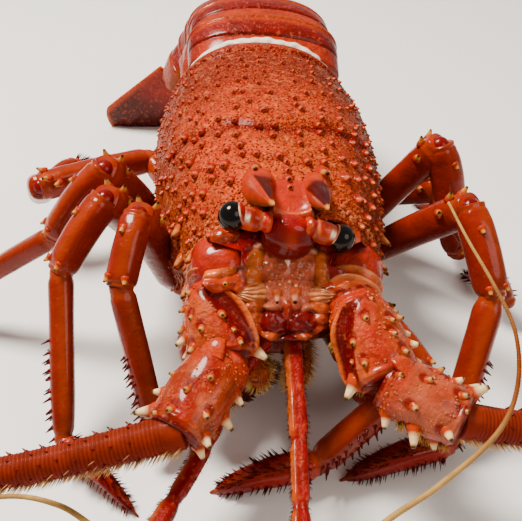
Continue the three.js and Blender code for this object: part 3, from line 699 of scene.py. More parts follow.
def carapace_spines():
    piece = Piece("carapace_spines", SPINE, "granular_shell")

    def grow(t, angle, lean, lengths, radii, inks, sides, blunt, hook=-BODY_BACK * 0.3):
        t, angle = np.asarray(t), np.asarray(angle)
        ways = CARAPACE.leaning(t, angle, -lean)
        thorns(piece, CARAPACE.skin(t, angle), ways, lengths, radii, inks, sides, blunt, hook)

    t, angle, size = SHELL_SPINES
    inks = seen(178, 58, 26), seen(216, 112, 72), seen(146, 60, 28)
    grow(t, angle, 0.75, 1.7 * size, 1.1 * size, inks, 8, 0.4)
    inks = seen(196, 62, 26), seen(206, 136, 76), THORN_DARK
    grow([0.178, 0.172], np.radians([-15, 14]), 0.9, 4.2, 1.4, inks, 12, 0.45)
    inks = seen(190, 62, 28), seen(214, 120, 84), seen(110, 30, 12)
    sizes = np.array([0.8, 0.9, 1.2, 1.0])
    grow([0.2, 0.165, 0.13, 0.1], np.radians([-1] * 4), 0.8, 1.5, sizes, inks, 8, 0.6, None)
    cheeks = [(t, way * degrees) for t, degrees in CHEEK_SPINES for way in (-1, 1)]
    t, degrees = np.array(cheeks).T
    inks = seen(210, 98, 54), seen(222, 146, 86), seen(130, 70, 30)
    grow(t, np.radians(degrees), 1.1, 3.6, 1.3, inks, 9, 0.3)
    piece.make()


def clear_of_orbits(points):
    for centre in EYE_CENTRES.values():
        away = (points - centre) @ BODY_TURN / ORBIT
        far = np.linalg.norm(away, axis=-1, keepdims=True)
        out = centre + (away / np.maximum(far, 1e-6) * ORBIT) @ BODY_TURN.T
        points = np.where(far < 1, out, points)
    return points


def front_folds(front, front_paint):
    """Rings that close the front of the shell with a soft skin, and their paint."""
    centre = on_body(0, 0, 6)
    folds = []
    paints = []
    for share in np.linspace(0.12, 1, 8):
        ring = centre + (front - centre) * (0.86 + 0.14 * share ** 0.5)
        folds.append(ring + BODY_BACK * (3.5 * (1 - share) - 1.4 * math.sin(math.pi * share)))
        paints.append(blend(seen(150, 40, 14), front_paint, np.full(len(front), share ** 2)))
    return folds, paints


def make_carapace():
    piece = Piece("carapace_shell", GRANULAR, "granular_shell", "carapace")
    points, t, angle = CARAPACE.grid(215, 265, carapace_relief)
    feet = CARAPACE.skin(*SHELL_SPINES[:2])
    paint = stained(points, carapace_paint(t, angle), feet, GROOVE, 1.7, 0.6)
    folds, fold_paints = front_folds(points[0], paint[0])
    points = np.concatenate([folds, points])
    paint = np.concatenate([fold_paints, paint])
    height = (points - BODY_MIDDLE) @ BODY_UP
    lift = np.maximum(CARAPACE_UNDERSIDE - height, 0)
    points = points + BODY_UP * lift[..., None]
    piece.tube(clear_of_orbits(points), paint)
    piece.make()


def carapace_grains():
    """Low rounded grains that cover the shell between the spines."""
    piece = Piece("carapace_grains", GRANULAR, "granular_shell")
    t = random.uniform(0.03, 0.92, GRAIN_COUNT)
    angle = random.uniform(-1.85, 1.85, GRAIN_COUNT)
    keep = ~((t < 0.14) & (np.abs(angle) < 0.3))
    t, angle = t[keep], angle[keep]
    normal = CARAPACE.normal(t, angle)
    feet = CARAPACE.skin(t, angle) + normal * (carapace_relief(t, angle) - 0.05)[:, None]
    size = random.uniform(0.2, 0.42, len(t)) * (1 + 1.6 * bell(t, 0.04, 0.05))
    # The grains take the shell's paint, including its painted shade on the left flank, a little lighter and
    # paler near the front.
    paint = blend(carapace_paint(t, angle) * 1.1, seen(226, 140, 92), 0.5 * bell(t, 0.04, 0.05))
    places = np.array([0.0, 0.45, 0.75])
    widths = np.array([1.0, 0.8, 0.35])
    points = cones(clear_of_orbits(feet), normal, size, size, places, widths, 5, helper=BODY_BACK)
    piece.tubes(points, paint[:, None, None, :])
    piece.make()


# Head

def blob(piece, centre, radii, paint, turned=BODY_TURN, count=28, relief=None):
    """A rounded lump; paint and relief may be functions of the direction from its centre."""
    theta, phi = np.meshgrid(np.linspace(0.04, np.pi - 0.04, count), full_turn(count * 2), indexing="ij")
    way = np.stack([np.sin(theta) * np.sin(phi), -np.cos(theta), np.sin(theta) * np.cos(phi)], -1)
    size = 1 if relief is None else (1 + relief(way))[..., None]
    points = centre + (way * np.asarray(radii) * size) @ turned.T
    piece.tube(points, paint(way) if callable(paint) else paint)


HORNS = {
    "left": (on_body(6.3, -33.5, 27), on_body(6.1, -45, 32.6), on_body(5.9, -55, 36)),
    "right": (on_body(-8.6, -33.5, 27.5), on_body(-8.3, -45, 33), on_body(-7.3, -55, 36.6)),
}
# Section of a full horn: place, half width, half height; the breadth scales all widths but the tip's
HORN_TABLE = np.array([[0, 4.8, 5.2], [0.3, 4.2, 4.2], [0.62, 2.8, 2.9], [0.88, 1.1, 1.1], [1, 0.2, 0.2]])
HORN_BREADTH = {"left": 0.72, "right": 0.94}
HORN_FACES = {"left": math.radians(8), "right": math.radians(-42)}


def make_horns():
    for name, spots in HORNS.items():
        piece = Piece(f"frontal_horn_{name}", SPINE, "horn", f"horn_{name}")
        table = HORN_TABLE.copy()
        table[:-1, 1] *= HORN_BREADTH[name]
        form = limb(curve(*spots), table, BODY_UP, 2.5)

        def inner(t, a, facing=HORN_FACES[name]):
            return np.cos(a - facing) * np.ones_like(t)

        def relief(t, a):
            return -1.0 * smooth(0.3, 0.8, inner(t, a)) * smooth(0.1, 0.4, t) * smooth(1.0, 0.75, t)

        points, t, angle = form.grid(80, 64, relief)
        paint = blend(seen(196, 74, 30), seen(150, 92, 50), smooth(-0.2, -0.6, np.cos(angle)))
        nail = smooth(0.24, 0.36, inner(t, angle)) * smooth(0.2, 0.34, t) * smooth(0.97, 0.9, t)
        paint = blend(paint, seen(92, 2, 10), nail)
        paint = blend(paint, GOLD, smooth(0.88, 0.97, t))
        piece.tube(points, paint)
        piece.make()


def make_saddle():
    """Glossy hollow between the horns, with a rolled front rim; a pale line along the rim is a painted
    highlight and the dark edge below it is painted shadow.
    """
    piece = Piece("brow_saddle", GLOSSY, "smooth_shell")
    v, u = np.meshgrid(np.linspace(0, 1, 70), np.linspace(1, -1, 60), indexing="ij")
    y = -33 - 14.5 * v
    bowl = 1.2 * u ** 2 * smooth(0.2, 0.8, v) - 1.2 * (1 - u ** 2) * smooth(0.4, 1.0, v)
    rim = 0.4 * bell(v, 0.88, 0.05) - 2.4 * smooth(0.9, 1.02, v)
    edge = -1.6 * smooth(0.85, 1.0, np.abs(u)) - 1.5 * smooth(0.12, 0.0, v)
    z = arched(y, CARAPACE_TOP, HIGHEST_AT, FRONT_FALL, REAR_FALL) + 0.3 + bowl + rim + edge
    top = on_body(-0.9 + 5.6 * u, y, z)
    paint = blend(seen(196, 66, 28), seen(206, 70, 26), smooth(0.2, 0.8, v))
    # Painted highlight along the rolled rim.
    paint = blend(paint, seen(226, 122, 74), 0.6 * bell(v, 0.88, 0.04))
    # Painted shadow under the rim's front edge.
    paint = blend(paint, DARK, smooth(0.93, 1.0, v))
    piece.slab(top, BODY_UP * 2.2, paint)
    piece.make()


def aligned(way):
    """A turn whose second axis is the given way."""
    forward = unit(way)
    side = unit(np.cross(forward, UP))
    return np.stack([side, forward, np.cross(side, forward)], -1)


STALK_ROOTS = {"left": on_body(1.9, -50.4, 27.6), "right": on_body(-6.6, -50.4, 28.2)}
EYE_RADII = 3.7, 3.55, 3.8
STALK_TABLE = [
    [0, 2.2, 2.2], [0.1, 2.8, 2.7], [0.25, 2.5, 2.4], [0.33, 2.2, 2.2], [0.42, 2.7, 2.6], [0.7, 3.1, 3.0],
    [1, 2.7, 2.7],
]


def stalk_paint(t, angle, side):
    """Mottled red with a pale band and a cream patch beside the eye."""
    mottled = smooth(-0.3, 0.9, crumple(2.6 * angle, 11 * t, 7, 1.6))
    paint = blend(seen(206, 84, 34), seen(158, 36, 14), 0.8 * mottled)
    paint = blend(paint, seen(190, 52, 20), bell(t, 0.24, 0.08))
    paint = blend(paint, seen(214, 132, 96), 0.7 * bell(t, 0.36, 0.05))
    patch = smooth(0.74, 0.82, t) * smooth(0.99, 0.93, t) * bell(wrap(angle - 0.9 * side), 0, 0.3)
    return blend(paint, seen(238, 222, 200), patch)


def make_eyes():
    for name, side in SIDES:
        centre, root = EYE_CENTRES[name], STALK_ROOTS[name]
        way = unit(centre - root)
        lid_way = unit(UP * 0.4 - way * 0.9)
        ball_turn = aligned(way)

        def lid(w):
            w = w @ ball_turn.T
            return w @ lid_way - 0.7 - 0.09 * np.sin(5 * w[..., 0] + 2)

        def hood_relief(w):
            return 0.07 * smooth(-0.04, 0.04, lid(w)) - 0.2 * smooth(0.0, -0.08, lid(w))

        def hood_paint(w):
            share = lid(w)
            ink = blend(seen(186, 52, 22), seen(206, 84, 40), smooth(0.1, 0.6, share))
            broken = 0.3 + 0.7 * smooth(-0.4, 0.5, np.sin(4 * w[..., 2] + 3 * w[..., 0]))
            return blend(ink, seen(232, 206, 160), broken * bell(share, 0.02, 0.04))

        eye = Piece(f"eye_ball_{name}", EYE, "eye", f"eye_{name}")
        blob(eye, centre, EYE_RADII, seen(14, 14, 13), ball_turn, 40)
        eye.make()
        stalk = Piece(f"eye_stalk_{name}", GLOSSY, "smooth_shell", f"eyestalk_{name}")
        blob(stalk, centre, EYE_RADII, hood_paint, ball_turn, 70, hood_relief)
        form = limb(curve(root, centre - way * 2.4), STALK_TABLE)
        points, t, angle = form.grid(70, 48, lambda t, a: 0.14 * crumple(3 * a, 9 * t, 7, 1.0))
        stalk.tube(points, stalk_paint(t, angle, side))
        stalk.make()


def make_eye_plate():
    piece = Piece("eye_plate_skin", GLOSSY, "dark_membrane", "eye_plate")

    def relief(w):
        return 0.02 * np.sin(9 * w[..., 2] + 2 * w[..., 0])

    def paint(w):
        # Dark red, lighter towards the top. The orange patch at the upper middle is the plate's paler centre
        # with a painted highlight on it.
        ink = blend(seen(134, 8, 2), seen(178, 40, 8), smooth(0.2, 0.9, w[..., 2]))
        return blend(ink, seen(202, 78, 22), 0.8 * bell(w[..., 0], 0, 0.22) * bell(w[..., 2], 0.3, 0.3))

    blob(piece, on_body(-1.7, -50, 23.4), (7.0, 4.7, 6.3), paint, relief=relief, count=48)
    piece.make()


FACE = limb(
    curve(on_body(-1, BROW + 1, 0), on_body(-1, BROW - 14, 0)),
    [[0, 8.6, 16.4], [0.35, 8.0, 15.0], [0.6, 7.4, 12.0], [1, 6.6, 5.6]], BODY_UP, 3.2,
)
# Face mask: the soft skin between the eye plate, the antenna sockets and the mouth. It is a relief seen
# from the front and above: u runs to the lobster's left, v upward, and rise towards the viewer.
MASK_MIDDLE = vec(6.55, -67.33, 55.96)
MASK_TILT = math.radians(38)
MASK_OUT = vec(0, -math.cos(MASK_TILT), math.sin(MASK_TILT))
MASK_UP = vec(0, math.sin(MASK_TILT), math.cos(MASK_TILT))
# Each fold: u, v, half width, half height, turn in degrees, rise, flatness, colour
MASK_FOLDS = (
    # the right side: folds below the socket dome, pillar, skin down to the mouth
    (-17.4, 3.2, 6.4, 4.6, 8, 1.0, 1.3, seen(176, 44, 28)),
    (-17.6, 0.5, 3.6, 1.2, 14, 2.7, 1.0, seen(224, 116, 60)),
    (-18.2, -2.1, 5.2, 1.7, 6, 2.7, 1.0, seen(206, 80, 32)),
    (-11.4, 0.3, 0.9, 3.4, 8, 1.5, 1.0, seen(190, 100, 84)),
    (-12.3, -2.7, 2.1, 1.7, -20, 1.7, 1.0, seen(200, 78, 36)),
    (-8.3, 2.2, 1.9, 5.2, -16, 0.8, 1.2, seen(214, 112, 58)),
    (-12.2, -6.4, 2.4, 2.5, -30, -1.0, 1.0, seen(204, 84, 40)),
    (-8.8, -7.4, 2.5, 1.7, 16, 1.1, 1.0, seen(214, 100, 48)),
    (-8.6, -10.2, 2.2, 1.6, -14, 0.4, 1.0, seen(208, 92, 44)),
    (-8.3, -13.2, 2.1, 2.0, 10, -0.4, 1.0, seen(188, 74, 36)),
    (-9.8, 8.6, 3.4, 2.9, 0, -0.2, 1.2, seen(158, 50, 20)),
    (-16.6, 9.9, 4.2, 2.2, 12, 0.6, 1.2, seen(184, 74, 36)),
    (-7.0, 7.2, 1.3, 0.8, 20, 0.6, 1.0, seen(212, 150, 120)),
    # antennular plate, its rims, middle ridge and the antennule lobes
    (0.4, 2.2, 7.2, 5.0, 0, 0.5, 2.6, seen(212, 112, 82)),
    (0.4, -4.2, 6.2, 4.6, 0, 0.55, 2.6, seen(220, 120, 90)),
    (-4.2, -7.9, 2.0, 0.8, -8, 1.0, 1.0, seen(206, 120, 88)),
    (5.2, -8.2, 1.9, 0.8, 10, 0.9, 1.0, seen(206, 120, 88)),
    (0.2, -8.4, 1.2, 2.6, 0, 1.1, 1.0, seen(186, 68, 22)),
    (-3.2, -11.5, 3.1, 2.7, -6, 0.9, 1.5, seen(132, 4, 8)),
    (3.9, -11.7, 3.4, 2.8, 6, 0.9, 1.5, seen(132, 4, 8)),
    (-4.4, -15.4, 2.1, 1.3, 20, 0.5, 1.0, seen(190, 84, 40)),
    (4.6, -15.5, 2.1, 1.3, -20, 0.5, 1.0, seen(190, 84, 40)),
    (0.2, -17.0, 4.6, 2.0, 0, -0.4, 1.5, seen(104, 18, 10)),
    # the left side
    (14.4, 2.0, 4.4, 4.4, 0, 1.0, 1.3, seen(156, 36, 24)),
    (13.4, -3.4, 3.4, 1.3, 3, 1.9, 1.0, seen(200, 78, 36)),
    (9.1, 1.2, 1.9, 4.8, 3, 0.6, 1.2, seen(214, 112, 58)),
    (13.0, -6.4, 2.6, 2.2, 25, -1.0, 1.0, seen(204, 84, 40)),
    (8.8, -7.9, 2.4, 1.7, -12, 1.1, 1.0, seen(214, 100, 48)),
    (8.5, -10.7, 2.1, 1.6, 12, 0.4, 1.0, seen(208, 92, 44)),
    (8.1, -13.6, 2.0, 2.0, -8, -0.4, 1.0, seen(188, 74, 36)),
    (10.6, 7.4, 3.6, 2.8, 0, -0.2, 1.2, seen(158, 50, 20)),
    (17.4, 8.8, 3.8, 2.6, -20, 0.8, 1.2, seen(184, 74, 36)),
    (6.8, 6.2, 1.2, 0.8, -20, 0.6, 1.0, seen(212, 150, 120)),
    # creased cream skin on both sides; its pale crests between orange troughs are partly the skin's colour
    # and partly a painted highlight
    (-9.0, -4.6, 3.5, 2.0, 4, 1.6, 1.3, seen(238, 164, 106)),
    (9.4, -5.2, 3.4, 1.9, -4, 1.6, 1.3, seen(238, 164, 106)),
)
CREASED_FOLDS = 2
MASK_SHARPNESS = 3.6
MASK_TOP, MASK_BOTTOM = 12.5, -17.6
# The mask's outline: v, then the lowest and highest u
MASK_OUTLINE = (
    (-17.6, -15.5, -13, -8, -4.5, -2, 1.2, 2.4, 6, 8.5, 12.5),
    (-3.4, -7.0, -12, -16, -20, -22.5, -21.5, -12.6, -12.8, -20.5, -20.5),
    (4.0, 7.6, 12, 14, 16, 17, 16, 12.4, 13.5, 20.5, 20.5),
)
MASK_SLOPE_U, MASK_SLOPE_V, MASK_LEVEL = -0.13, -0.2, -1.0
# Tubercles of the antennular plate: u, v, radius
TUBERCLES = (
    (-2.7, -0.2, 0.35), (-1.0, -0.9, 0.25), (1.3, 0.0, 0.35), (3.4, 0.0, 0.5), (-1.8, -2.4, 0.55),
    (2.3, -2.7, 0.7), (0.6, -1.7, 0.6), (-0.4, -3.0, 0.3), (0.7, -4.3, 0.35), (-0.4, -4.1, 0.25),
    (-2.9, 2.5, 0.25), (-4.1, 3.1, 0.25), (2.7, 1.4, 0.25), (4.3, 2.9, 0.3), (5.0, 2.1, 0.25),
    (-4.4, -1.7, 0.4),
)
TUBERCLE_GRAINS = 160


def mask_relief(u, v):
    """Height of the mask and the share that each fold has in it; folds meet in creases."""
    heights = []
    for middle_u, middle_v, half_u, half_v, turned, rise, flatness, _ in MASK_FOLDS:
        c, sn = math.cos(math.radians(turned)), math.sin(math.radians(turned))
        across = ((u - middle_u) * c + (v - middle_v) * sn) / half_u
        along = ((v - middle_v) * c - (u - middle_u) * sn) / half_v
        heights.append(rise - 1.1 * np.minimum((across ** 2 + along ** 2) ** flatness, 12))
    heights = np.stack(heights)
    grown = np.exp(MASK_SHARPNESS * heights)
    total = grown.sum(0)
    shares = grown / total
    creased = shares[-CREASED_FOLDS:].sum(0)
    height = np.maximum(np.log(total) / MASK_SHARPNESS, -2.5)
    height = height + 0.2 * creased * np.sin(mask_stripe(u, v)) + 0.17 * crumple(u, v)
    base = MASK_LEVEL + MASK_SLOPE_U * u + MASK_SLOPE_V * v
    return base + height, shares, creased


def mask_stripe(u, v):
    """Creases that fan out towards the middle from a point on each side."""
    fan_right = np.arctan2(v + 4.5, u + 14.0)
    fan_left = np.arctan2(v + 5.1, 14.8 - u)
    return 34 * np.where(u < 0, fan_right, fan_left) + 0.5 * np.sin(1.3 * u)


def crumple(u, v, waves=9, finest=3.4):
    """Irregular low ripples, as the sum of waves that run every way."""
    total = 0
    for wave in range(waves):
        way = 2.4 * wave + 0.7
        pace = finest * (0.35 + 0.65 * ((wave * 0.618) % 1))
        total = total + np.sin(pace * (u * math.cos(way) + v * math.sin(way)) + 1.9 * wave)
    return total / math.sqrt(waves)


def on_mask(u, v, rise=0.0):
    u, v = np.asarray(u, float), np.asarray(v, float)
    depth = mask_relief(u, v)[0] + rise
    return MASK_MIDDLE + vec(1, 0, 0) * u[..., None] + MASK_UP * v[..., None] + MASK_OUT * depth[..., None]


def mask_paint(u, v, shares, creased):
    """Each fold's colour, darker in the creases and striped on the creased skin."""
    colours = np.array([fold[-1] for fold in MASK_FOLDS])
    paint = np.tensordot(np.moveaxis(shares, 0, -1), colours, 1)
    paint = blend(paint, seen(116, 14, 8), 0.6 * smooth(0.78, 0.5, shares.max(0)))
    # Orange in the troughs of the creases. The cream left on the crests is partly a painted highlight.
    paint = blend(paint, seen(196, 84, 36), 0.8 * creased * smooth(0.2, -0.9, np.sin(mask_stripe(u, v))))
    paint = paint * (1 + 0.12 * crumple(u, v, finest=2.2))[..., None]
    for middle_u, middle_v in ((-8.6, -2.7), (9.6, -3.3)):
        paint = blend(paint, seen(112, 10, 8), 0.8 * bell(u, middle_u, 2.6) * bell(v, middle_v, 0.35))
    return paint


def make_face():
    """The mask of soft skin, and the plain backing behind it."""
    piece = Piece("face_backing", SMOOTH, "granular_shell", "face_plate")
    piece.tube(FACE.grid(60, 70)[0], DARK)
    piece.make()
    skin = Piece("face_mask", GLOSSY, "smooth_shell")
    v, across = np.meshgrid(np.linspace(MASK_TOP, MASK_BOTTOM, 165), np.linspace(0, 1, 215), indexing="ij")
    low_u = np.interp(v, MASK_OUTLINE[0], MASK_OUTLINE[1])
    high_u = np.interp(v, MASK_OUTLINE[0], MASK_OUTLINE[2])
    u = low_u + (high_u - low_u) * across
    edge = np.minimum.reduce([u - low_u, high_u - u, MASK_TOP - v, v - MASK_BOTTOM])
    sunk = 7 * smooth(1.4, 0.0, edge)
    _, shares, creased = mask_relief(u, v)
    skin.slab(on_mask(u, v, -sunk), MASK_OUT * 2.0, mask_paint(u, v, shares, creased))
    skin.make()


def make_tubercles():
    """Tubercles, grains and small spines on the mask."""
    bumps = Piece("face_tubercles", SPINE, "granular_shell")
    tilt = MASK_OUT - MASK_UP * 0.5
    root, pale, grain_tip = seen(206, 104, 68), seen(236, 172, 128), seen(214, 122, 88)
    for u, v, size in TUBERCLES:
        thorns(bumps, on_mask(u, v, -0.1), tilt, size * 1.1, size, (root, pale, pale), 9, 0.9)
    u = random.uniform(-4.5, 5.5, TUBERCLE_GRAINS)
    v = random.uniform(-6, 4, TUBERCLE_GRAINS)
    sizes = random.uniform(0.12, 0.22, TUBERCLE_GRAINS)
    thorns(bumps, on_mask(u, v, -0.05), tilt, 0.25, sizes, (seen(196, 92, 58), grain_tip, grain_tip), 6, 0.9)
    for u, v, size in ((-2.5, -5.0, 1.0), (2.0, -5.0, 1.3)):
        inks = root, seen(232, 160, 120), THORN_DARK
        thorns(bumps, on_mask(u, v, -0.3), tilt - MASK_UP * 0.6, 2.6, size, inks, 12, 0.5)
    inks = seen(206, 92, 44), GOLD, THORN_DARK
    thorns(bumps, on_mask(-15.4, -2.2, -0.2), MASK_OUT, 1.2, 0.7, inks, 10, 0.7)
    bumps.make()


def make_notch():
    """The white skin in the notch below the eye plate."""
    white = Piece("face_notch", WHITE, "smooth_shell")
    notch = curve(on_mask(0.1, 5.2, 0.1), on_mask(0.2, 3.6, 0.15), on_mask(0.3, 2.0, 0.05))
    form = limb(notch, [[0, 1.05, 0.5], [0.3, 0.9, 0.5], [1, 0.1, 0.3]], MASK_OUT)
    white.tube(form.grid(24, 20)[0], seen(236, 222, 204))
    white.make()


# Antennae: socket, joints and the feeler's way

ANTENNAE = {
    "left": {
        "socket": on_body(16.5, BROW + 1, 10), "first": vec(23.3, -68.9, 49), "second": vec(30.9, -88.6, 40),
        "third": vec(47.8, -97.5, 36),
        "reach_out": [vec(63, -96.5, 32), vec(112, -92, 26), vec(170, -66, 16), vec(225, -20, 8)],
    },
    "right": {
        "socket": on_body(-16.5, BROW + 1, 10), "first": vec(-12.7, -65.3, 50), "second": vec(-9.2, -82, 41),
        "third": vec(-20.3, -101.2, 36),
        "reach_out": [vec(-60.9, -107, 28.5), vec(-112, -108, 22), vec(-168, -86, 14), vec(-222, -40, 8)],
    },
}
SOCKET_SHIFTS = {"left": 0.6, "right": -0.9}
WIDE = 8.7
SECOND_TABLE = [
    [0, 6.5, 6], [0.15, 7.6, 7], [0.55, WIDE, WIDE * 0.9], [0.92, WIDE * 0.92, WIDE * 0.8],
    [1, WIDE * 0.8, WIDE * 0.7],
]
THIRD_TABLE = [
    [0, WIDE * 0.8, WIDE * 0.7], [0.12, WIDE * 0.9, WIDE * 0.8], [0.35, WIDE * 0.94, WIDE * 0.86],
    [0.8, WIDE * 0.9, WIDE * 0.82], [1, WIDE * 0.78, WIDE * 0.7],
]
# Spines of each segment: place along it, degrees from the top, size
SEGMENT_SPINES = {
    "antenna_right_base_2": (
        (0.55, -3, 1), (0.67, 34, 1), (0.76, -19, 0.7), (0.9, -28, 1), (0.48, 51, 0.9), (0.67, 86, 1.5),
        (0.85, 62, 1.2), (0.24, -18, 0.7), (0.14, 56, 1), (0.93, -84, 1.8), (0.3, 80, 1), (0.5, 100, 1.2),
        (0.8, 112, 1.3), (0.6, -120, 1.2), (0.85, 150, 1.2),
    ),
    "antenna_right_base_3": (
        (0.43, -23, 1), (0.66, 0, 1), (0.9, 7, 1.1), (0.76, -53, 1.1), (0.6, -106, 1.6), (0.9, -88, 1.5),
        (0.95, -125, 1.5), (0.7, 70, 1.3), (0.9, 78, 1.9), (0.86, 100, 1.6), (0.5, 55, 1), (0.36, -98, 1.4),
        (0.6, 125, 1.2), (0.75, 160, 1.2), (0.96, 40, 0.9),
    ),
    "antenna_left_base_2": (
        (0.39, 13, 1), (0.57, 48, 1), (0.81, 44, 1), (0.73, 68, 0.6), (0.9, 100, 1.8), (0.43, -54, 1.2),
        (0.47, -31, 1), (0.62, -22, 1), (0.73, -58, 1.4), (0.82, -28, 1.1), (0.2, -14, 0.8), (0.55, -85, 1.3),
        (0.85, -90, 1.3), (0.3, -80, 1.1), (0.7, 135, 1.2), (0.85, -140, 1.2),
    ),
    "antenna_left_base_3": (
        (0.14, 19, 1), (0.45, 3, 1), (0.5, -34, 1.2), (0.73, -30, 1.3), (0.86, -5, 1.1), (0.95, -40, 1.9),
        (0.9, -62, 1.7), (0.44, 58, 1.1), (0.2, 118, 1.5), (0.55, 108, 1.8), (0.88, 74, 1.4), (0.6, -80, 1.2),
        (0.8, 130, 1.3), (0.4, -110, 1.2), (0.96, 20, 0.8),
    ),
}
# The bare dark crescent on the inner side of the second segment, by place and degrees
CRESCENTS = {
    "antenna_right_base_2": ((0.16, 0.38, 0.57, 0.76, 0.92, 1.0), (16, -10, -26, -37, -46, -56)),
    "antenna_left_base_2": ((0.1, 0.19, 0.28, 0.43, 0.57, 0.71, 0.9), (6, 30, 47, 60, 71, 80, 90)),
}
CUSP_DEGREES = {"left": -4, "right": 3}
# Paint of the third segments on the back and on the flanks
SEGMENT_3_PAINTS = {
    "right": (seen(164, 60, 30), seen(178, 76, 50)),
    "left": (seen(184, 90, 64), seen(192, 104, 78)),
}
SEGMENT_BRISTLES, SEGMENT_TUFTS = 420, 14
PIMPLE_COUNT, PIMPLE_SIZE = 460, 0.2


def across_crescent(key):
    """How far round the section a place lies from the crescent, as a function; None without a crescent."""
    if key not in CRESCENTS:
        return None
    places, degrees = CRESCENTS[key]

    def across(t, a):
        return (wrap(a) - np.radians(np.interp(t, places, degrees))) * np.sign(degrees[-1])

    return across


def segment_relief(across):
    """Low lumps, and a hollow with a raised flange where there is a crescent."""

    def relief(t, a):
        lumps = 0.3 * np.sin(3 * a + 4 * t) * np.sin(9 * t) + 0.6 * bell(t, 0.93, 0.03)
        lumps = lumps - 0.5 * bell(t, 0.1, 0.03)
        if across is None:
            return lumps
        flange = 1.5 * bell(across(t, a), 0.43, 0.12) * smooth(0.1, 0.4, t) * smooth(1.0, 0.85, t)
        return lumps - 0.9 * bell(across(t, a), -0.03, 0.26) * smooth(0.1, 0.25, t) + flange

    return relief


def segment_paint(t, angle, name, side, label):
    upper, lower = seen(192, 68, 30), seen(194, 90, 56)
    if label == "base_3":
        upper, lower = SEGMENT_3_PAINTS[name]
    paint = blend(upper, lower, smooth(0.1, 0.7, np.abs(angle - 0.2 * side)))
    patches = crumple(angle * 9, t * 26, 7, 0.9)
    paint = blend(paint, seen(208, 116, 82), 0.5 * smooth(0.2, 1.2, patches) * smooth(0.2, 0.5, t))
    paint = blend(paint, seen(186, 62, 30), 0.28 * smooth(-0.2, -1.2, patches))
    paint = blend(paint, seen(210, 74, 26), 0.8 * smooth(0.35, 0.1, t))
    paint = blend(paint, seen(170, 74, 42), smooth(1.2, 2.2, np.abs(angle)))
    return blend(paint, seen(126, 16, 10), smooth(0.06, 0.03, t) + smooth(0.965, 0.985, t))


def crescent_paint(paint, t, away):
    """Adds the pale flange and the dark streaked hollow to the paint of a segment."""
    paint = blend(paint, seen(222, 116, 62), bell(away, 0.42, 0.09) * smooth(0.12, 0.25, t))
    hollow = smooth(-0.42, -0.36, away) * smooth(0.34, 0.3, away)
    streaked = blend(seen(112, 4, 10), seen(136, 18, 18), smooth(0.3, 0.9, np.sin(60 * away + 3 * t)))
    return blend(paint, streaked, hollow * smooth(0.08, 0.2, t) * smooth(1.0, 0.9, t))


def add_segment_spines(spines, form, t, angle, size):
    """Short spines with a cream collar, paler on the large ones."""
    feet = form.skin(t, angle) - form.normal(t, angle) * 0.2
    ways = form.leaning(t, angle, 0.4)
    for chosen, collar in ((size < 1.25, seen(216, 158, 96)), (size >= 1.25, seen(240, 214, 168))):
        grown = size[chosen]
        inks = seen(200, 82, 46), collar, seen(104, 74, 32)
        thorns(spines, feet[chosen], ways[chosen], 1.6 * grown ** 1.7, 0.9 * grown, inks, 12, 0.4, -UP * 0.1)


def make_segment_bristles(key, form):
    """Bristles in tufts on the underside of a segment."""
    bristles = Piece(f"{key}_bristles", BRISTLE, "granular_shell")
    tuft = random.integers(0, SEGMENT_TUFTS, SEGMENT_BRISTLES)
    tuft_t = random.uniform(0.25, 0.97, SEGMENT_TUFTS)
    tuft_angle = np.radians(random.uniform(105, 255, SEGMENT_TUFTS))
    t = tuft_t[tuft] + random.normal(0, 0.025, SEGMENT_BRISTLES)
    angle = tuft_angle[tuft] + random.normal(0, 0.12, SEGMENT_BRISTLES)
    ways = form.leaning(t, angle, 0.6) + random.normal(0, 0.2, (SEGMENT_BRISTLES, 3))
    lengths = random.uniform(1.2, 2.8, SEGMENT_BRISTLES)
    hairs(bristles, form, t, angle, ways, lengths, 0.11, seen(150, 96, 44), seen(226, 184, 110))
    bristles.make()


def make_segment(name, side, label, form, spines):
    """One long segment of an antenna: skin, crescent, joint cusp, spines and bristles."""
    key = f"antenna_{name}_{label}"
    piece = Piece(f"{key}_shell", SMOOTH, "granular_shell", key)
    across = across_crescent(key)
    points, t, angle = form.grid(120, 220 if across else 110, segment_relief(across))
    paint = segment_paint(t, wrap(angle), name, side, label)
    if across:
        paint = crescent_paint(paint, t, across(t, angle))
    t, degrees, size = np.array(SEGMENT_SPINES[key]).T
    angle = np.radians(degrees)
    stains = form.skin(t, angle) - form.path.tangent(t) * (1.3 * size)[:, None]
    piece.tube(points, stained(points, paint, stains, seen(142, 8, 8), 1.5, 0.9))
    add_pimples(piece, form, across)
    if label == "base_3":
        add_cusp(piece, name, form)
    piece.make()
    add_segment_spines(spines, form, t, angle, size)
    make_segment_bristles(key, form)


def add_cusp(piece, name, form):
    """The pointed tooth of a segment that reaches back over the joint."""
    degrees = math.radians(CUSP_DEGREES[name])
    base, tip = form.skin(0.2, degrees), form.skin(-0.1, degrees)
    up = form.normal(0.2, degrees)
    path = curve(base - up * 0.8, (base + tip) / 2 + up * 0.5, tip + up * 0.2)
    cusp = limb(path, [[0, 3.8, 1.0], [0.5, 2.4, 1.1], [0.85, 1.0, 0.7], [1, 0.2, 0.3]], up)
    points, t, angle = cusp.grid(30, 28)
    piece.tube(points, blend(seen(208, 80, 34), seen(176, 34, 14), smooth(0.8, 1.0, np.abs(np.sin(angle)))))


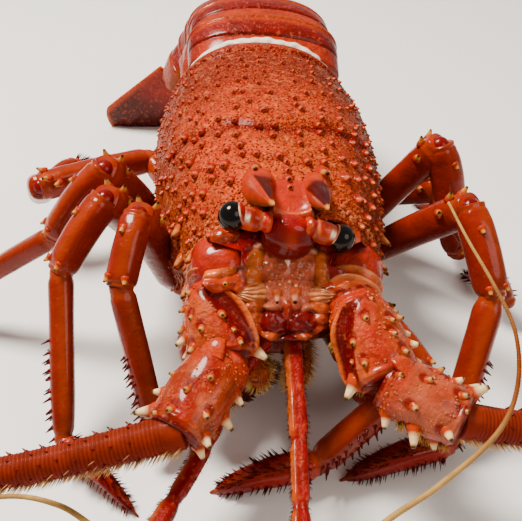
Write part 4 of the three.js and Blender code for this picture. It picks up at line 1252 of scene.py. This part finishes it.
def add_pimples(piece, form, across):
    """Low rounded grains, kept off the crescent."""
    t = random.uniform(0.08, 0.94, PIMPLE_COUNT)
    angle = random.uniform(0, 2 * np.pi, PIMPLE_COUNT)
    if across:
        keep = np.abs(across(t, angle) - 0.1) > 0.4
        t, angle = t[keep], angle[keep]
    normal = form.normal(t, angle)
    radii = PIMPLE_SIZE * random.uniform(0.6, 1.4, len(t))
    thorns(piece, form.skin(t, angle) - normal * 0.05, normal, radii, radii, [seen(212, 122, 80)] * 3, 5, 0.9)


def socket_paint(w):
    ink = blend(seen(170, 40, 24), seen(196, 66, 42), smooth(0.2, 0.8, w[..., 2]))
    ink = blend(ink, seen(120, 12, 8), smooth(0.9, 1.0, w[..., 2]))
    return blend(ink, seen(124, 12, 8), smooth(0.2, -0.4, w[..., 2]))


def socket_crease(t, a):
    return np.sin(24 * t + 1.5 * np.sin(2 * a))


def make_antenna(name, side):
    spot = ANTENNAE[name]
    socket, first, second, third = (spot[key] for key in ("socket", "first", "second", "third"))
    socket = socket + BODY_SIDE * SOCKET_SHIFTS[name]
    base = Piece(f"antenna_{name}_socket", GLOSSY, "dark_membrane", f"antenna_{name}_base_1")
    blob(base, socket, (8.8, 10, 9.4), socket_paint, relief=lambda w: 0.02 * np.sin(7 * w[..., 0]), count=44)
    table = [[0, 6, 6], [0.5, 7.9, 7.1], [0.8, 7.2, 6.8], [1, 6.6, 6.2]]
    neck = limb(curve(socket, first * 0.98 + second * 0.02), table)
    points, t, angle = neck.grid(90, 64, lambda t, a: 0.55 * socket_crease(t, a))
    highlit_crest = 0.5 + 0.5 * socket_crease(t, angle)
    paint = blend(seen(176, 40, 24), seen(206, 84, 38), smooth(0.35, 0.55, t))
    # Cream on the crests of the folds is partly the skin's pale colour and partly a painted highlight.
    base.tube(points, blend(paint, seen(236, 158, 96), 0.6 * highlit_crest * smooth(0.45, 0.6, t)))
    base.make()
    spines = Piece(f"antenna_{name}_spines", SPINE, "granular_shell")
    segments = ("base_2", first, second, SECOND_TABLE), ("base_3", second, third, THIRD_TABLE)
    for label, start, end, table in segments:
        form = limb(curve(start + (start - end) * 0.04, end + (end - start) * 0.02), table)
        make_segment(name, side, label, form, spines)
    spines.make()
    make_feeler(name, side, third, spot["reach_out"])


# The feelers: length of a ring, gap between fringe hairs, and rows of spines by angle, gap and size
FEELER_RING, FRINGE_GAP = 1.0, 0.085
FEELER_SPINE_ROWS = ((46, 4.2, 0.6), (4, 4.8, 0.36), (-42, 4.4, 0.36), (-98, 3.4, 0.42), (100, 4.2, 0.6))


def feeler_radius(t):
    return 0.45 + 4.05 * np.maximum(1 - t, 0) ** 0.9


def make_feeler(name, side, third, reach_out):
    """The long ringed feeler with its rows of spines and its fringe."""
    path = curve(third + (third - reach_out[0]) * 0.05, *reach_out)
    form = tapered(path, feeler_radius)
    nodes = [f"antenna_{name}_flagellum_{length}" for length in (1, 2)]
    piece = Piece(f"antenna_{name}_feeler", FEELER, "feeler", *nodes)

    def groove(t):
        """The joints between the feeler's many short rings."""
        return (0.5 + 0.5 * np.cos(2 * np.pi * t * path.length / FEELER_RING)) ** 2 * smooth(0.01, 0.03, t)

    def relief(t, a):
        return -0.16 * groove(t) * np.minimum(1, feeler_radius(t))

    points, t, angle = form.grid(int(path.length / FEELER_RING * 5.3), 24, relief)
    paint = blend(seen(144, 60, 50), seen(112, 42, 32), smooth(0, 0.8, t))
    # Paler along the top: painted light from above.
    paint = blend(paint, seen(154, 74, 58), np.maximum(0, np.cos(angle)) * 0.5)
    piece.tube(points, blend(paint, seen(104, 34, 30), 0.55 * groove(t)))
    piece.make()
    make_feeler_spines(name, side, form)
    make_feeler_fringe(name, side, form)


def make_feeler_spines(name, side, form):
    spines = Piece(f"antenna_{name}_feeler_spines", SPINE, "feeler")
    inks = seen(120, 32, 16), seen(110, 40, 22), seen(52, 16, 8)
    for degrees, gap, size in FEELER_SPINE_ROWS:
        t = np.arange(12, form.path.length * 0.96, gap) / form.path.length
        t = t + random.normal(0, 0.0015, len(t))
        angle = np.radians(-side * degrees + random.normal(0, 5, len(t)))
        reach = (0.55 + 1.5 * (1 - t) ** 0.6) * size
        thorns(spines, form.skin(t, angle), form.leaning(t, angle, 0.9), reach, reach * 0.3, inks, 5, 0.0)
    spines.make()


def make_feeler_fringe(name, side, form):
    fringe = Piece(f"antenna_{name}_feeler_fringe", BRISTLE, "feeler")
    t = np.arange(1, form.path.length * 0.97, FRINGE_GAP) / form.path.length
    angle = np.radians(180 - 28 * side + random.normal(0, 26, len(t)))
    lengths = (0.6 + 2.2 * (1 - t)) * random.uniform(0.6, 1.2, len(t))
    ways = form.leaning(t, angle, 0.9)
    hairs(fringe, form, t, angle, ways, lengths, 0.13, seen(192, 128, 72), seen(236, 206, 150))
    fringe.make()


# Antennules

ANTENNULES = {
    "left": {
        "stalk": [vec(7.6, -71, 41), vec(8.8, -90, 34), vec(9.1, -108, 28.5), vec(8.8, -127, 24)],
        "outer": [
            vec(14, -133, 26), vec(25.8, -124, 33), vec(38.2, -118.9, 40), vec(51.9, -109.7, 47),
            vec(57.4, -100.2, 51), vec(58.9, -87.6, 56), vec(55, -78, 62), vec(50.4, -67.4, 67),
            vec(47, -57, 71),
        ],
        "inner": [vec(5, -138, 20), vec(-8, -152, 14), vec(-30, -164, 8), vec(-54, -170, 3)],
    },
    "right": {
        "stalk": [vec(1, -71, 38), vec(-8, -80, 28), vec(-15, -96, 22), vec(-26, -120, 20)],
        "outer": [
            vec(-33, -119, 19), vec(-49.1, -107.5, 16.5), vec(-65, -103.3, 14), vec(-92, -112, 11),
            vec(-124, -132, 4),
        ],
        "inner": [vec(-30, -130, 17), vec(-42, -144, 11), vec(-66, -154, 6), vec(-96, -160, 3)],
    },
}


# Section of the stalk, with its three swollen lengths: place, half width, half height
ANTENNULE_TABLE = [
    [0, 2.8, 2.4], [0.12, 2.5, 2.1], [0.3, 2.2, 2.0], [0.48, 2.4, 2.2], [0.52, 1.9, 1.8], [0.56, 2.2, 2.0],
    [0.75, 2.2, 2.0], [0.8, 1.8, 1.7], [0.84, 2.3, 2.1], [0.95, 2.4, 2.2], [1, 1.8, 1.8],
]
ANTENNULE_HAIRS = 260
WHIP_RING = 0.8


def make_antennule(name, side):
    spot = ANTENNULES[name]
    stalk = Piece(f"antennule_{name}_stalk", SMOOTH, "smooth_shell", f"antennule_{name}")
    form = limb(curve(*spot["stalk"]), ANTENNULE_TABLE, squareness=2.6)
    points, t, angle = form.grid(200, 40, lambda t, a: -0.25 * bell(wrap(a), 0, 0.25))
    # Paler on the side towards the key lamp, the lobster's right: painted light.
    paint = blend(seen(160, 52, 20), seen(196, 96, 52), smooth(0.6, 1.4, np.sin(angle) + 0.6))
    stalk.tube(points, blend(paint, seen(150, 30, 14), bell(t, 0.52, 0.02) + bell(t, 0.8, 0.02)))
    stalk.make()
    fringe = Piece(f"antennule_{name}_fringe", BRISTLE, "smooth_shell")
    t = random.uniform(0.1, 0.95, ANTENNULE_HAIRS)
    rows = np.where(random.random(ANTENNULE_HAIRS) < 0.6, 75, -80)
    angle = np.radians(rows + random.normal(0, 10, ANTENNULE_HAIRS))
    hairs(fringe, form, t, angle, form.leaning(t, angle, 0.8), 0.9, 0.1, seen(120, 50, 24), seen(70, 30, 16))
    fringe.make()
    for branch, way in (("outer", 1), ("inner", -1)):
        start = spot["stalk"][-1] + vec(way * 1.1 * side, 0, 0)
        make_whip(f"antennule_{name}_{branch}", curve(start, *spot[branch]))


def whip_radius(t):
    return 0.85 - 0.5 * np.clip(t, 0, 1)


def make_whip(node, path):
    """One thin ringed whip at the end of a stalk."""
    rings = path.length / WHIP_RING
    whip = Piece(f"{node}_whip", WHIP, "whip", node)

    def relief(t, a):
        return -0.07 * np.abs(np.sin(np.pi * t * rings)) ** 8

    points, t, angle = tapered(path, whip_radius).grid(int(rings * 5), 12, relief)
    whip.tube(points, blend(seen(200, 164, 104), seen(146, 80, 46), bell(t, 0.62, 0.2)))
    whip.make()


# Mouth legs

MOUTH_BRISTLES = 760


def make_maxillipeds():
    for name, side in SIDES:
        path = curve(
            on_body(side * 7, -38, -19), on_body(side * 6.5, -50, -16.5),
            on_body(side * 5.5, -57, -18), on_body(side * 5, -53, -26),
        )
        form = limb(path, [[0, 3.4, 3], [0.4, 3.6, 3.2], [0.75, 2.8, 2.6], [1, 1.2, 1.2]], BODY_UP)
        piece = Piece(f"mouth_leg_{name}", SMOOTH, "smooth_shell", f"maxilliped_{name}")
        points, t, angle = form.grid(80, 40)
        piece.tube(points, blend(seen(218, 116, 58), seen(184, 58, 26), smooth(0.4, 1.0, t)))
        piece.make()
        setae = Piece(f"mouth_leg_{name}_bristles", BRISTLE, "smooth_shell")
        t = random.uniform(0.2, 1.0, MOUTH_BRISTLES)
        angle = random.uniform(0, 2 * np.pi, MOUTH_BRISTLES)
        ways = form.leaning(t, angle, 0.7)
        lengths = random.uniform(1.6, 3.6, MOUTH_BRISTLES)
        hairs(setae, form, t, angle, ways, lengths, 0.11, seen(222, 156, 84), seen(246, 214, 150))
        setae.make()


# Legs: hip, knee, wrist, ankle and toe

LEGS = {
    "right": [
        [on_body(-19, -30, -20), vec(-19, -63, 27), vec(-15, -77, 18), vec(-2, -59, 8), vec(6, -47, 0)],
        [
            on_body(-29, -16, -19), vec(-33, -47.6, 60), vec(-37.1, -62.1, 48), vec(-28, -82, 8),
            vec(-16, -70, 0),
        ],
        [
            on_body(-34, -1, -19), vec(-43.1, -39.4, 60), vec(-55.6, -50.4, 44), vec(-54.1, -81.3, 9),
            vec(-32.7, -99.2, 0),
        ],
        [
            on_body(-36, 16, -18), vec(-45.8, -23.6, 60), vec(-62.6, -28.9, 40), vec(-101, -25, 12),
            vec(-112, -4, 0),
        ],
        [on_body(-38, 46, -13), vec(-76.5, 10.8, 32), vec(-83, 28, 18), vec(-74, 46, 20), vec(-60, 60, 0)],
    ],
    "left": [
        [on_body(18, -31, -20), vec(25, -60, 22), vec(31, -70, 13), vec(34, -54, 5), vec(36, -40, 0)],
        [on_body(27, -20, -18), vec(33, -62, 34), vec(42, -77, 30), vec(15.3, -88.3, 8), vec(-13.3, -92, 0)],
        [
            on_body(34, -1, -18), vec(57.9, -40.4, 58), vec(63.5, -56.8, 40), vec(52.5, -79, 5),
            vec(22.2, -88.1, 0),
        ],
        [on_body(36, 16, -17), vec(55.6, -6.2, 58), vec(60.7, -11, 38), vec(81.4, -24.8, 10), vec(73, 2, 0)],
        [on_body(37, 32, -16), vec(60, 4, 36), vec(68, -4, 15), vec(74, 30, 5), vec(62, 48, 0)],
    ],
}
COXA_SPACING = 13.5
TOE_ROWS = (-32, -14, 8, 26, 100, -100)
TOE_BRISTLES = 230
# Sections of the leg parts: place, half width, half height
COXA = [[0, 5, 5], [0.4, 5.2, 5.0], [0.85, 4.4, 4.2], [1, 3.6, 3.6]]
MERUS = [[0, 3.4, 3.4], [0.06, 4.1, 4.1], [0.3, 4.4, 4.7], [0.7, 4.5, 4.9], [0.93, 4.7, 5.0], [1, 3.9, 4.3]]
CARPUS = [[0, 3.9, 4.2], [0.2, 4.5, 4.7], [0.6, 4.5, 4.6], [0.9, 4.2, 4.1], [1, 3.4, 3.4]]
PROPODUS = [[0, 2.9, 2.9], [0.08, 3.5, 3.4], [0.5, 3.5, 3.3], [0.9, 3.0, 2.9], [1, 2.4, 2.4]]
STOUT_PROPODUS = [[0, 3.2, 3.2], [0.08, 3.9, 3.8], [0.5, 4.2, 4.0], [0.9, 4.0, 3.8], [1, 3.0, 3.0]]
STOUT_DACTYL = [[0, 3.0, 3.0], [0.1, 4.0, 3.9], [0.5, 3.7, 3.5], [0.85, 2.0, 1.9], [1, 0.25, 0.25]]
DACTYL = [[0, 2.3, 2.3], [0.1, 2.9, 2.8], [0.5, 2.5, 2.3], [0.85, 1.2, 1.1], [1, 0.25, 0.25]]


def leg_part(piece, start, end, table, paint_near, paint_far, bow=0.0, ridges=0.0, browned=0.25):
    """One hard length of a leg, swollen at its ends, on a slightly bowed path."""
    way = unit(end - start)
    side = unit(np.cross(way, UP))
    middle = (start + end) / 2 + np.cross(side, way) * bow
    form = limb(curve(start - way * 0.6, middle, end + way * 0.6), table, squareness=2.5)

    def relief(t, a):
        grooves = ridges * (np.cos(a * 2 + 0.8) * smooth(0.1, 0.3, t) * smooth(0.97, 0.8, t))
        return grooves - 0.25 * bell(t, 0.055, 0.02) - 0.3 * bell(t, 0.955, 0.015)

    points, t, angle = form.grid(64, 34, relief=relief)
    paint = blend(paint_near, paint_far, t) * 0.84
    paint = blend(paint, seen(166, 84, 52), browned)
    # Pale streaks along the two ridges: painted highlights.
    paint = blend(paint, seen(186, 88, 48), 0.35 * bell(np.cos(2 * angle + 0.6), 1, 0.25))
    # Darker underneath: painted shade.
    paint = blend(paint, seen(112, 18, 6), 0.5 * np.maximum(0, -np.cos(angle)))
    paint = blend(paint, seen(204, 96, 56), 0.35 * (bell(t, 0.04, 0.03) + bell(t, 0.96, 0.03)))
    piece.tube(points, paint)
    return form


def make_leg(name, side, index):
    hip, knee, wrist, ankle, toe = LEGS[name][index]
    root = on_body(side * (9 + 2.6 * index), -30 + COXA_SPACING * index, -21)
    leg = f"leg_{name}_{index + 1}"
    stout = name == "left" and index in (1, 2)
    hand_table, toe_table = (STOUT_PROPODUS, STOUT_DACTYL) if stout else (PROPODUS, DACTYL)
    piece = Piece(f"{leg}_shell", LEG, "leg_shell", f"{leg}_upper", f"{leg}_lower")
    leg_part(piece, root, hip, COXA, seen(186, 70, 34), seen(190, 76, 40))
    merus = leg_part(piece, hip, knee, MERUS, seen(168, 48, 18), seen(180, 58, 24), 0.6, 0.2)
    carpus = leg_part(piece, knee, wrist, CARPUS, seen(176, 54, 22), seen(164, 46, 18), 0.8, 0.35)
    propodus = leg_part(piece, wrist, ankle, hand_table, seen(172, 56, 26), seen(146, 30, 12), 0.5, 0.15)
    toe = toe + vec(0, 0, 0.3)
    dactyl = leg_part(piece, ankle, toe, toe_table, seen(196, 60, 22), seen(132, 20, 8), 1.5, 0.0, 0.0)
    for place, size in ((hip, 3.4), (knee, 3.0), (wrist, 2.3), (ankle, 1.8)):
        blob(piece, place, (size, size, size), seen(140, 30, 14), count=14)
    piece.make()
    make_leg_spines(leg, side, merus, carpus, propodus)
    make_toe_bristles(leg, dactyl)


def make_leg_spines(leg, side, merus, carpus, propodus):
    """Spines near the joints, and two combs of small ones before the toe."""
    spines = Piece(f"{leg}_spines", SPINE, "leg_shell")
    inks = seen(196, 74, 34), GOLD, THORN_DARK
    near_joints = (
        (merus, (0.93, 0.93, 0.86), (20, -35, 70 * side), 2.6, 1.1),
        (carpus, (0.3, 0.9, 0.9), (10, 30, -30), 1.8, 0.9),
    )
    for form, t, degrees, length, radius in near_joints:
        t, angle = np.array(t), np.radians(degrees)
        thorns(spines, form.skin(t, angle), form.leaning(t, angle, 1.0, 0.8), length, radius, inks, 8)
    inks = seen(120, 24, 10), seen(96, 22, 12), seen(60, 16, 8)
    for degrees in (70, 100):
        t = np.linspace(0.42, 0.97, 11) + random.normal(0, 0.008, 11)
        angle = np.radians(degrees * -side + random.normal(0, 8, len(t)))
        ways = propodus.leaning(t, angle, 0.5)
        lengths = random.uniform(1.2, 2.4, len(t))
        thorns(spines, propodus.skin(t, angle), ways, lengths, 0.42, inks, 5, 0.0)
    spines.make()


def make_toe_bristles(leg, dactyl):
    """Rows of bristles on the toe, cut short where they would reach the floor."""
    bristles = Piece(f"{leg}_bristles", BRISTLE, "leg_shell")
    t = random.uniform(0.1, 0.9, TOE_BRISTLES)
    angle = np.radians(random.choice(TOE_ROWS, TOE_BRISTLES) + random.normal(0, 7, TOE_BRISTLES))
    ways = dactyl.leaning(t, angle, 0.55)
    height = np.maximum(dactyl.skin(t, angle)[:, 2] - 0.2, 0.2)
    lengths = random.uniform(1.6, 3.2, TOE_BRISTLES) * (1.1 - 0.5 * t)
    lengths = np.minimum(lengths, height / np.maximum(-unit(ways)[:, 2], 0.05))
    hairs(bristles, dactyl, t, angle, ways, lengths, 0.2, seen(130, 26, 10), seen(70, 16, 8), 4)
    bristles.make()


# Abdomen

ARC_MIDDLE_Y, ARC_MIDDLE_Z, ARC_RADIUS = 76.8, -18.6, 42
ARC_START, ARC_END, RINGS = -28, 80, 6
ABDOMEN_SHIFT, ABDOMEN_DRIFT = 1.5, -14
ABDOMEN_HALF_WIDTH, ABDOMEN_NARROWING, ABDOMEN_ABOVE, ABDOMEN_BELOW = 28, 6, 13, 11


def arc_point(share):
    angle = math.radians(ARC_START) + math.radians(ARC_END - ARC_START) * share
    return on_body(
        ABDOMEN_SHIFT + ABDOMEN_DRIFT * np.clip(share, 0, 1) ** 3,
        ARC_MIDDLE_Y + ARC_RADIUS * np.sin(angle),
        ARC_MIDDLE_Z + ARC_RADIUS * np.cos(angle),
    )


def ring_form(index):
    low, high = index / RINGS, (index + 1) / RINGS + 0.012
    path = Path(arc_point(np.linspace(low, high, 60)))
    middle = on_body(ABDOMEN_SHIFT, ARC_MIDDLE_Y, ARC_MIDDLE_Z)

    def reach(t, angle):
        share = (index + t) / RINGS
        flare = 1.3 * (t - 0.5)
        half_width = ABDOMEN_HALF_WIDTH - ABDOMEN_NARROWING * share + flare
        cos = np.cos(angle)
        height = np.where(cos > 0, ABDOMEN_ABOVE + flare, ABDOMEN_BELOW)
        bend = np.where(cos > 0, 0.9, 0.5)
        return half_width * power(np.sin(angle), bend), height * power(cos, bend)

    return Form(path, reach, unit(path.at(0.5) - middle))


def ring_relief(t, a):
    """A groove across the top and a rim at the rear edge."""
    top = np.maximum(0, np.cos(a)) ** 0.5
    groove = -0.7 * bell(t, 0.42, 0.035) * top
    rim = 0.35 * smooth(0.88, 0.91, t) - 1.0 * smooth(0.985, 1.0, t)
    return groove + rim + 0.25 * bell(t, 0.65, 0.15) * top


def ring_paint(t, angle):
    paint = blend(seen(198, 72, 24), seen(150, 54, 20), smooth(0.36, 0.46, t) * smooth(0.85, 0.7, t))
    paint = blend(paint, seen(112, 22, 8), 0.8 * bell(t, 0.42, 0.04))
    paint = blend(paint, seen(190, 84, 46), 0.8 * smooth(0.8, 0.93, t))
    paint = blend(paint, seen(150, 48, 18), 0.5 * smooth(0.6, 1.5, np.abs(angle)))
    return blend(paint, seen(180, 92, 46), smooth(1.75, 2.2, np.abs(angle))) * 0.84


def make_abdomen():
    for index in range(RINGS):
        form = ring_form(index)
        piece = Piece(f"tail_ring_{index + 1}", SMOOTH, "smooth_shell", f"abdomen_{index + 1}")
        points, t, angle = form.grid(72, 130, ring_relief)
        piece.tube(points, ring_paint(t, wrap(angle)))
        if index < RINGS - 1:
            for way in (-1, 1):
                add_pleuron(piece, form, way)
        piece.make()


PLEURON_LENGTH = 12
PLEURON_TABLE = [[0, 8, 3.4], [0.45, 7.2, 2.5], [0.8, 3.6, 1.5], [0.93, 1.5, 0.9], [1, 0.4, 0.4]]


def add_pleuron(piece, form, way):
    """The pointed flap at one side of a tail ring."""
    angle = math.radians(96) * way
    centre, tangent, side, up = form.axes(0.45)
    root = form.skin(0.45, angle) * 0.7 + centre * 0.3
    edge = form.skin(0.5, angle)
    tip = edge - up * PLEURON_LENGTH + tangent * 4
    path = curve(root, edge - up * PLEURON_LENGTH * 0.45, tip)
    points, t, a = limb(path, PLEURON_TABLE, side * way).grid(40, 40)
    piece.tube(points, blend(seen(176, 70, 26), seen(204, 132, 70), smooth(0.7, 1.0, t)))


MEMBRANE_POINTS = 90


def membrane_radius(t):
    return 0.4 + 1.2 * np.sin(np.pi * np.clip(t, 0, 1) ** 1.2) ** 0.6


def make_neck_membrane():
    """White skin that shows between the shell and the first ring of the tail."""
    piece = Piece("neck_membrane", WHITE, "smooth_shell")
    angle = np.radians(np.linspace(-52, 62, MEMBRANE_POINTS))
    rim = CARAPACE.skin(np.full(MEMBRANE_POINTS, 1.0), angle)
    inward = CARAPACE.normal(np.full(MEMBRANE_POINTS, 0.98), angle)
    path = Path(rim - inward * 0.3 + BODY_BACK * 2.8)

    def reach(t, a):
        lumps = 1 + 0.18 * np.sin(31 * t) * np.sin(2 * a + 5 * t) + 0.1 * np.sin(83 * t + a)
        return 1.35 * membrane_radius(t) * np.sin(a) * lumps, 0.9 * membrane_radius(t) * np.cos(a) * lumps

    piece.tube(Form(path, reach, BODY_UP).grid(260, 24)[0], seen(226, 218, 206))
    piece.make()


def make_neck_skin():
    """The front of the tail's first ring, under the membrane."""
    neck = Piece("neck_skin", GLOSSY, "smooth_shell")
    path = curve(on_body(0, REAR_RIM - 3, 13), on_body(0, REAR_RIM + 14, 15))
    form = limb(path, [[0, 26, 14], [1, 25, 11]], BODY_UP)
    points, t, a = form.grid(30, 90, lambda t, a: 0.3 * np.sin(24 * t))
    neck.tube(points, blend(seen(206, 186, 168), seen(170, 62, 26), smooth(0.25, 0.6, t)))
    neck.make()


# Tail fan

FAN_ROOT = on_body(ABDOMEN_DRIFT, ARC_MIDDLE_Y + ARC_RADIUS + 4, ARC_MIDDLE_Z + 8)
FAN_LEAN = math.radians(90 + 14)
# The fan's own axes, as rows: across it, along it and out of its upper face
FAN_AXES = np.array([
    [1, 0, 0],
    [0, math.cos(FAN_LEAN), math.sin(FAN_LEAN)],
    [0, -math.sin(FAN_LEAN), math.cos(FAN_LEAN)],
])
FAN_THICKNESS, FAN_LAYER = 1.8, 2.3


def make_blade(name, node, inner, outer, root_inner, root_outer, length, reach_out, layer, side):
    """A fan blade: ribs run from its root to a soft pale margin."""
    piece = Piece(name, SMOOTH, "smooth_shell", node)
    v, u = np.meshgrid(np.linspace(0, 1, 50), np.linspace(0, 1, 61), indexing="ij")
    angle = np.radians(inner + (outer - inner) * u)
    radius = length + reach_out * np.sin(np.pi * u) ** 0.5
    tip = np.stack([np.sin(angle) * radius, -np.cos(angle) * radius], -1)
    root = np.asarray(root_inner) + (np.asarray(root_outer) - np.asarray(root_inner)) * u[..., None]
    flat = root + (tip - root) * v[..., None]
    thick = FAN_THICKNESS / 2 * (1 - 0.75 * smooth(0.75, 1.0, v))
    thick = thick * np.sqrt(np.clip(1 - (2 * u - 1) ** 8, 0.02, 1))
    ribs = 0.12 * np.sin(26 * u * np.pi / 2) * smooth(0.2, 0.5, v) + 0.35 * bell(u, 0.5, 0.05)
    level = layer * FAN_LAYER + FAN_THICKNESS / 2
    faces = []
    for way in (1, -1):
        z = level + way * (thick + np.minimum(ribs, FAN_THICKNESS) * 0.5 * (v < 0.99))
        points = np.stack([flat[..., 0] * side, flat[..., 1], z], -1) @ FAN_AXES + FAN_ROOT
        points[..., 2] = np.maximum(points[..., 2], 0.02)
        faces.append(points)
    loop = np.concatenate([faces[0], faces[1][:, ::-1]], 1)
    tone = np.concatenate([v, v[:, ::-1]], 1)
    edge = np.concatenate([u, u[:, ::-1]], 1)
    if side > 0:
        loop, edge = loop[:, ::-1], edge[:, ::-1]
    # Dark red towards the end of the blade: partly its own colour, partly painted shade on the face turned
    # from the lamps.
    paint = blend(seen(176, 60, 22), seen(98, 8, 4), smooth(0.1, 0.6, tone))
    # Brighter orange outer rim: partly the blade's hard edge, partly a painted highlight where it faces the
    # light.
    paint = blend(paint, seen(202, 84, 30), smooth(0.82, 0.97, edge))
    piece.tube(loop, blend(paint, seen(196, 110, 66), smooth(0.93, 1.0, tone)))
    piece.make()


def make_fan():
    make_blade("fan_middle", "telson", -22, 22, (-9, 3), (9, 3), 33, 3, -1, 1)
    for name, side in SIDES:
        make_blade(f"fan_inner_{name}", f"uropod_{name}_inner", 14, 46, (6, -4), (16, 0), 38, 4, 0, side)
        make_blade(f"fan_outer_{name}", f"uropod_{name}_outer", 32, 69, (14, -6), (22, 4), 50, 8, 1, side)


def make_sternum():
    path = curve(on_body(0, -38, -20.5), on_body(0, 47, -20.5))
    form = limb(path, [[0, 8, 5], [0.1, 11, 6.5], [0.9, 21, 6.5], [1, 19, 5]], BODY_UP, 3.5)
    piece = Piece("breast_plate", SMOOTH, "smooth_shell", "sternum")
    points, t, angle = form.grid(120, 90, lambda t, a: -0.5 * np.abs(np.sin(5.5 * np.pi * t)) ** 10)
    over = np.maximum(((points - BODY_MIDDLE) @ BODY_UP) - (CARAPACE_UNDERSIDE - 0.4), 0)
    points = points - BODY_UP * over[..., None]
    piece.tube(points, seen(202, 120, 76))
    piece.make()


make_carapace()
carapace_spines()
carapace_grains()
make_horns()
make_saddle()
make_eyes()
make_eye_plate()
make_face()
make_tubercles()
make_notch()
make_maxillipeds()
for side_name, side_way in SIDES:
    make_antenna(side_name, side_way)
    make_antennule(side_name, side_way)
    for leg_index in range(5):
        make_leg(side_name, side_way, leg_index)
make_abdomen()
make_neck_membrane()
make_neck_skin()
make_fan()
make_sternum()


# Floor, light and camera

# In metres
FLOOR_REACH = 1.6
FLOOR_COLOUR = (0.86, 0.80, 0.74, 1)
ROOM_COLOUR, ROOM_STRENGTH = (1.0, 0.95, 0.89, 1), 0.45
# Lamps: name, place, target, width, power in watts and colour
LAMPS = (
    ("key", (-0.32, 0.16, 0.75), (0, -0.03, 0.03), 0.28, 17.0, (1, 0.97, 0.92)),
    ("fill", (0.5, -0.4, 0.55), (0, -0.05, 0.03), 0.5, 2.2, (1, 1, 1)),
)


def make_floor():
    mesh = bpy.data.meshes.new("floor")
    corners = [(x * FLOOR_REACH, y * FLOOR_REACH, 0) for x, y in ((-1, -1), (1, -1), (1, 1), (-1, 1))]
    mesh.from_pydata(corners, [], [(0, 1, 2, 3)])
    floor = bpy.data.objects.new("floor", mesh)
    bpy.context.scene.collection.objects.link(floor)
    look = bpy.data.materials.new("pale_floor")
    look.use_nodes = True
    shader = look.node_tree.nodes["Principled BSDF"].inputs
    shader["Base Color"].default_value = FLOOR_COLOUR
    shader["Roughness"].default_value = 0.55
    mesh.materials.append(look)


def area_light(name, place, target, size, power_watts, colour):
    data = bpy.data.lights.new(name, "AREA")
    data.shape = "DISK"
    data.size = size
    data.energy = power_watts
    data.color = colour
    lamp = bpy.data.objects.new(name, data)
    lamp.location = place
    way = Vector(target) - Vector(place)
    lamp.rotation_euler = way.to_track_quat("-Z", "Y").to_euler()
    bpy.context.scene.collection.objects.link(lamp)


def make_light():
    world = bpy.data.worlds.new("soft_room")
    world.use_nodes = True
    background = world.node_tree.nodes["Background"].inputs
    background["Color"].default_value = ROOM_COLOUR
    background["Strength"].default_value = ROOM_STRENGTH
    bpy.context.scene.world = world
    for lamp in LAMPS:
        area_light(*lamp)


CAMERA_PLACE = (vec(0, -224, 183) + ORIGIN_SHIFT) * MM
CAMERA_PITCH = math.radians(52)
FOCAL_PIXELS, FRAME_WIDTH, SENSOR_WIDTH = 800, 522, 36


def make_camera():
    data = bpy.data.cameras.new("camera")
    data.sensor_width = SENSOR_WIDTH
    data.lens = SENSOR_WIDTH * FOCAL_PIXELS / FRAME_WIDTH
    data.clip_start = 0.01
    camera = bpy.data.objects.new("camera", data)
    camera.location = CAMERA_PLACE
    camera.rotation_euler = (CAMERA_PITCH, 0, 0)
    bpy.context.scene.collection.objects.link(camera)
    bpy.context.scene.camera = camera


make_floor()
make_light()
make_camera()
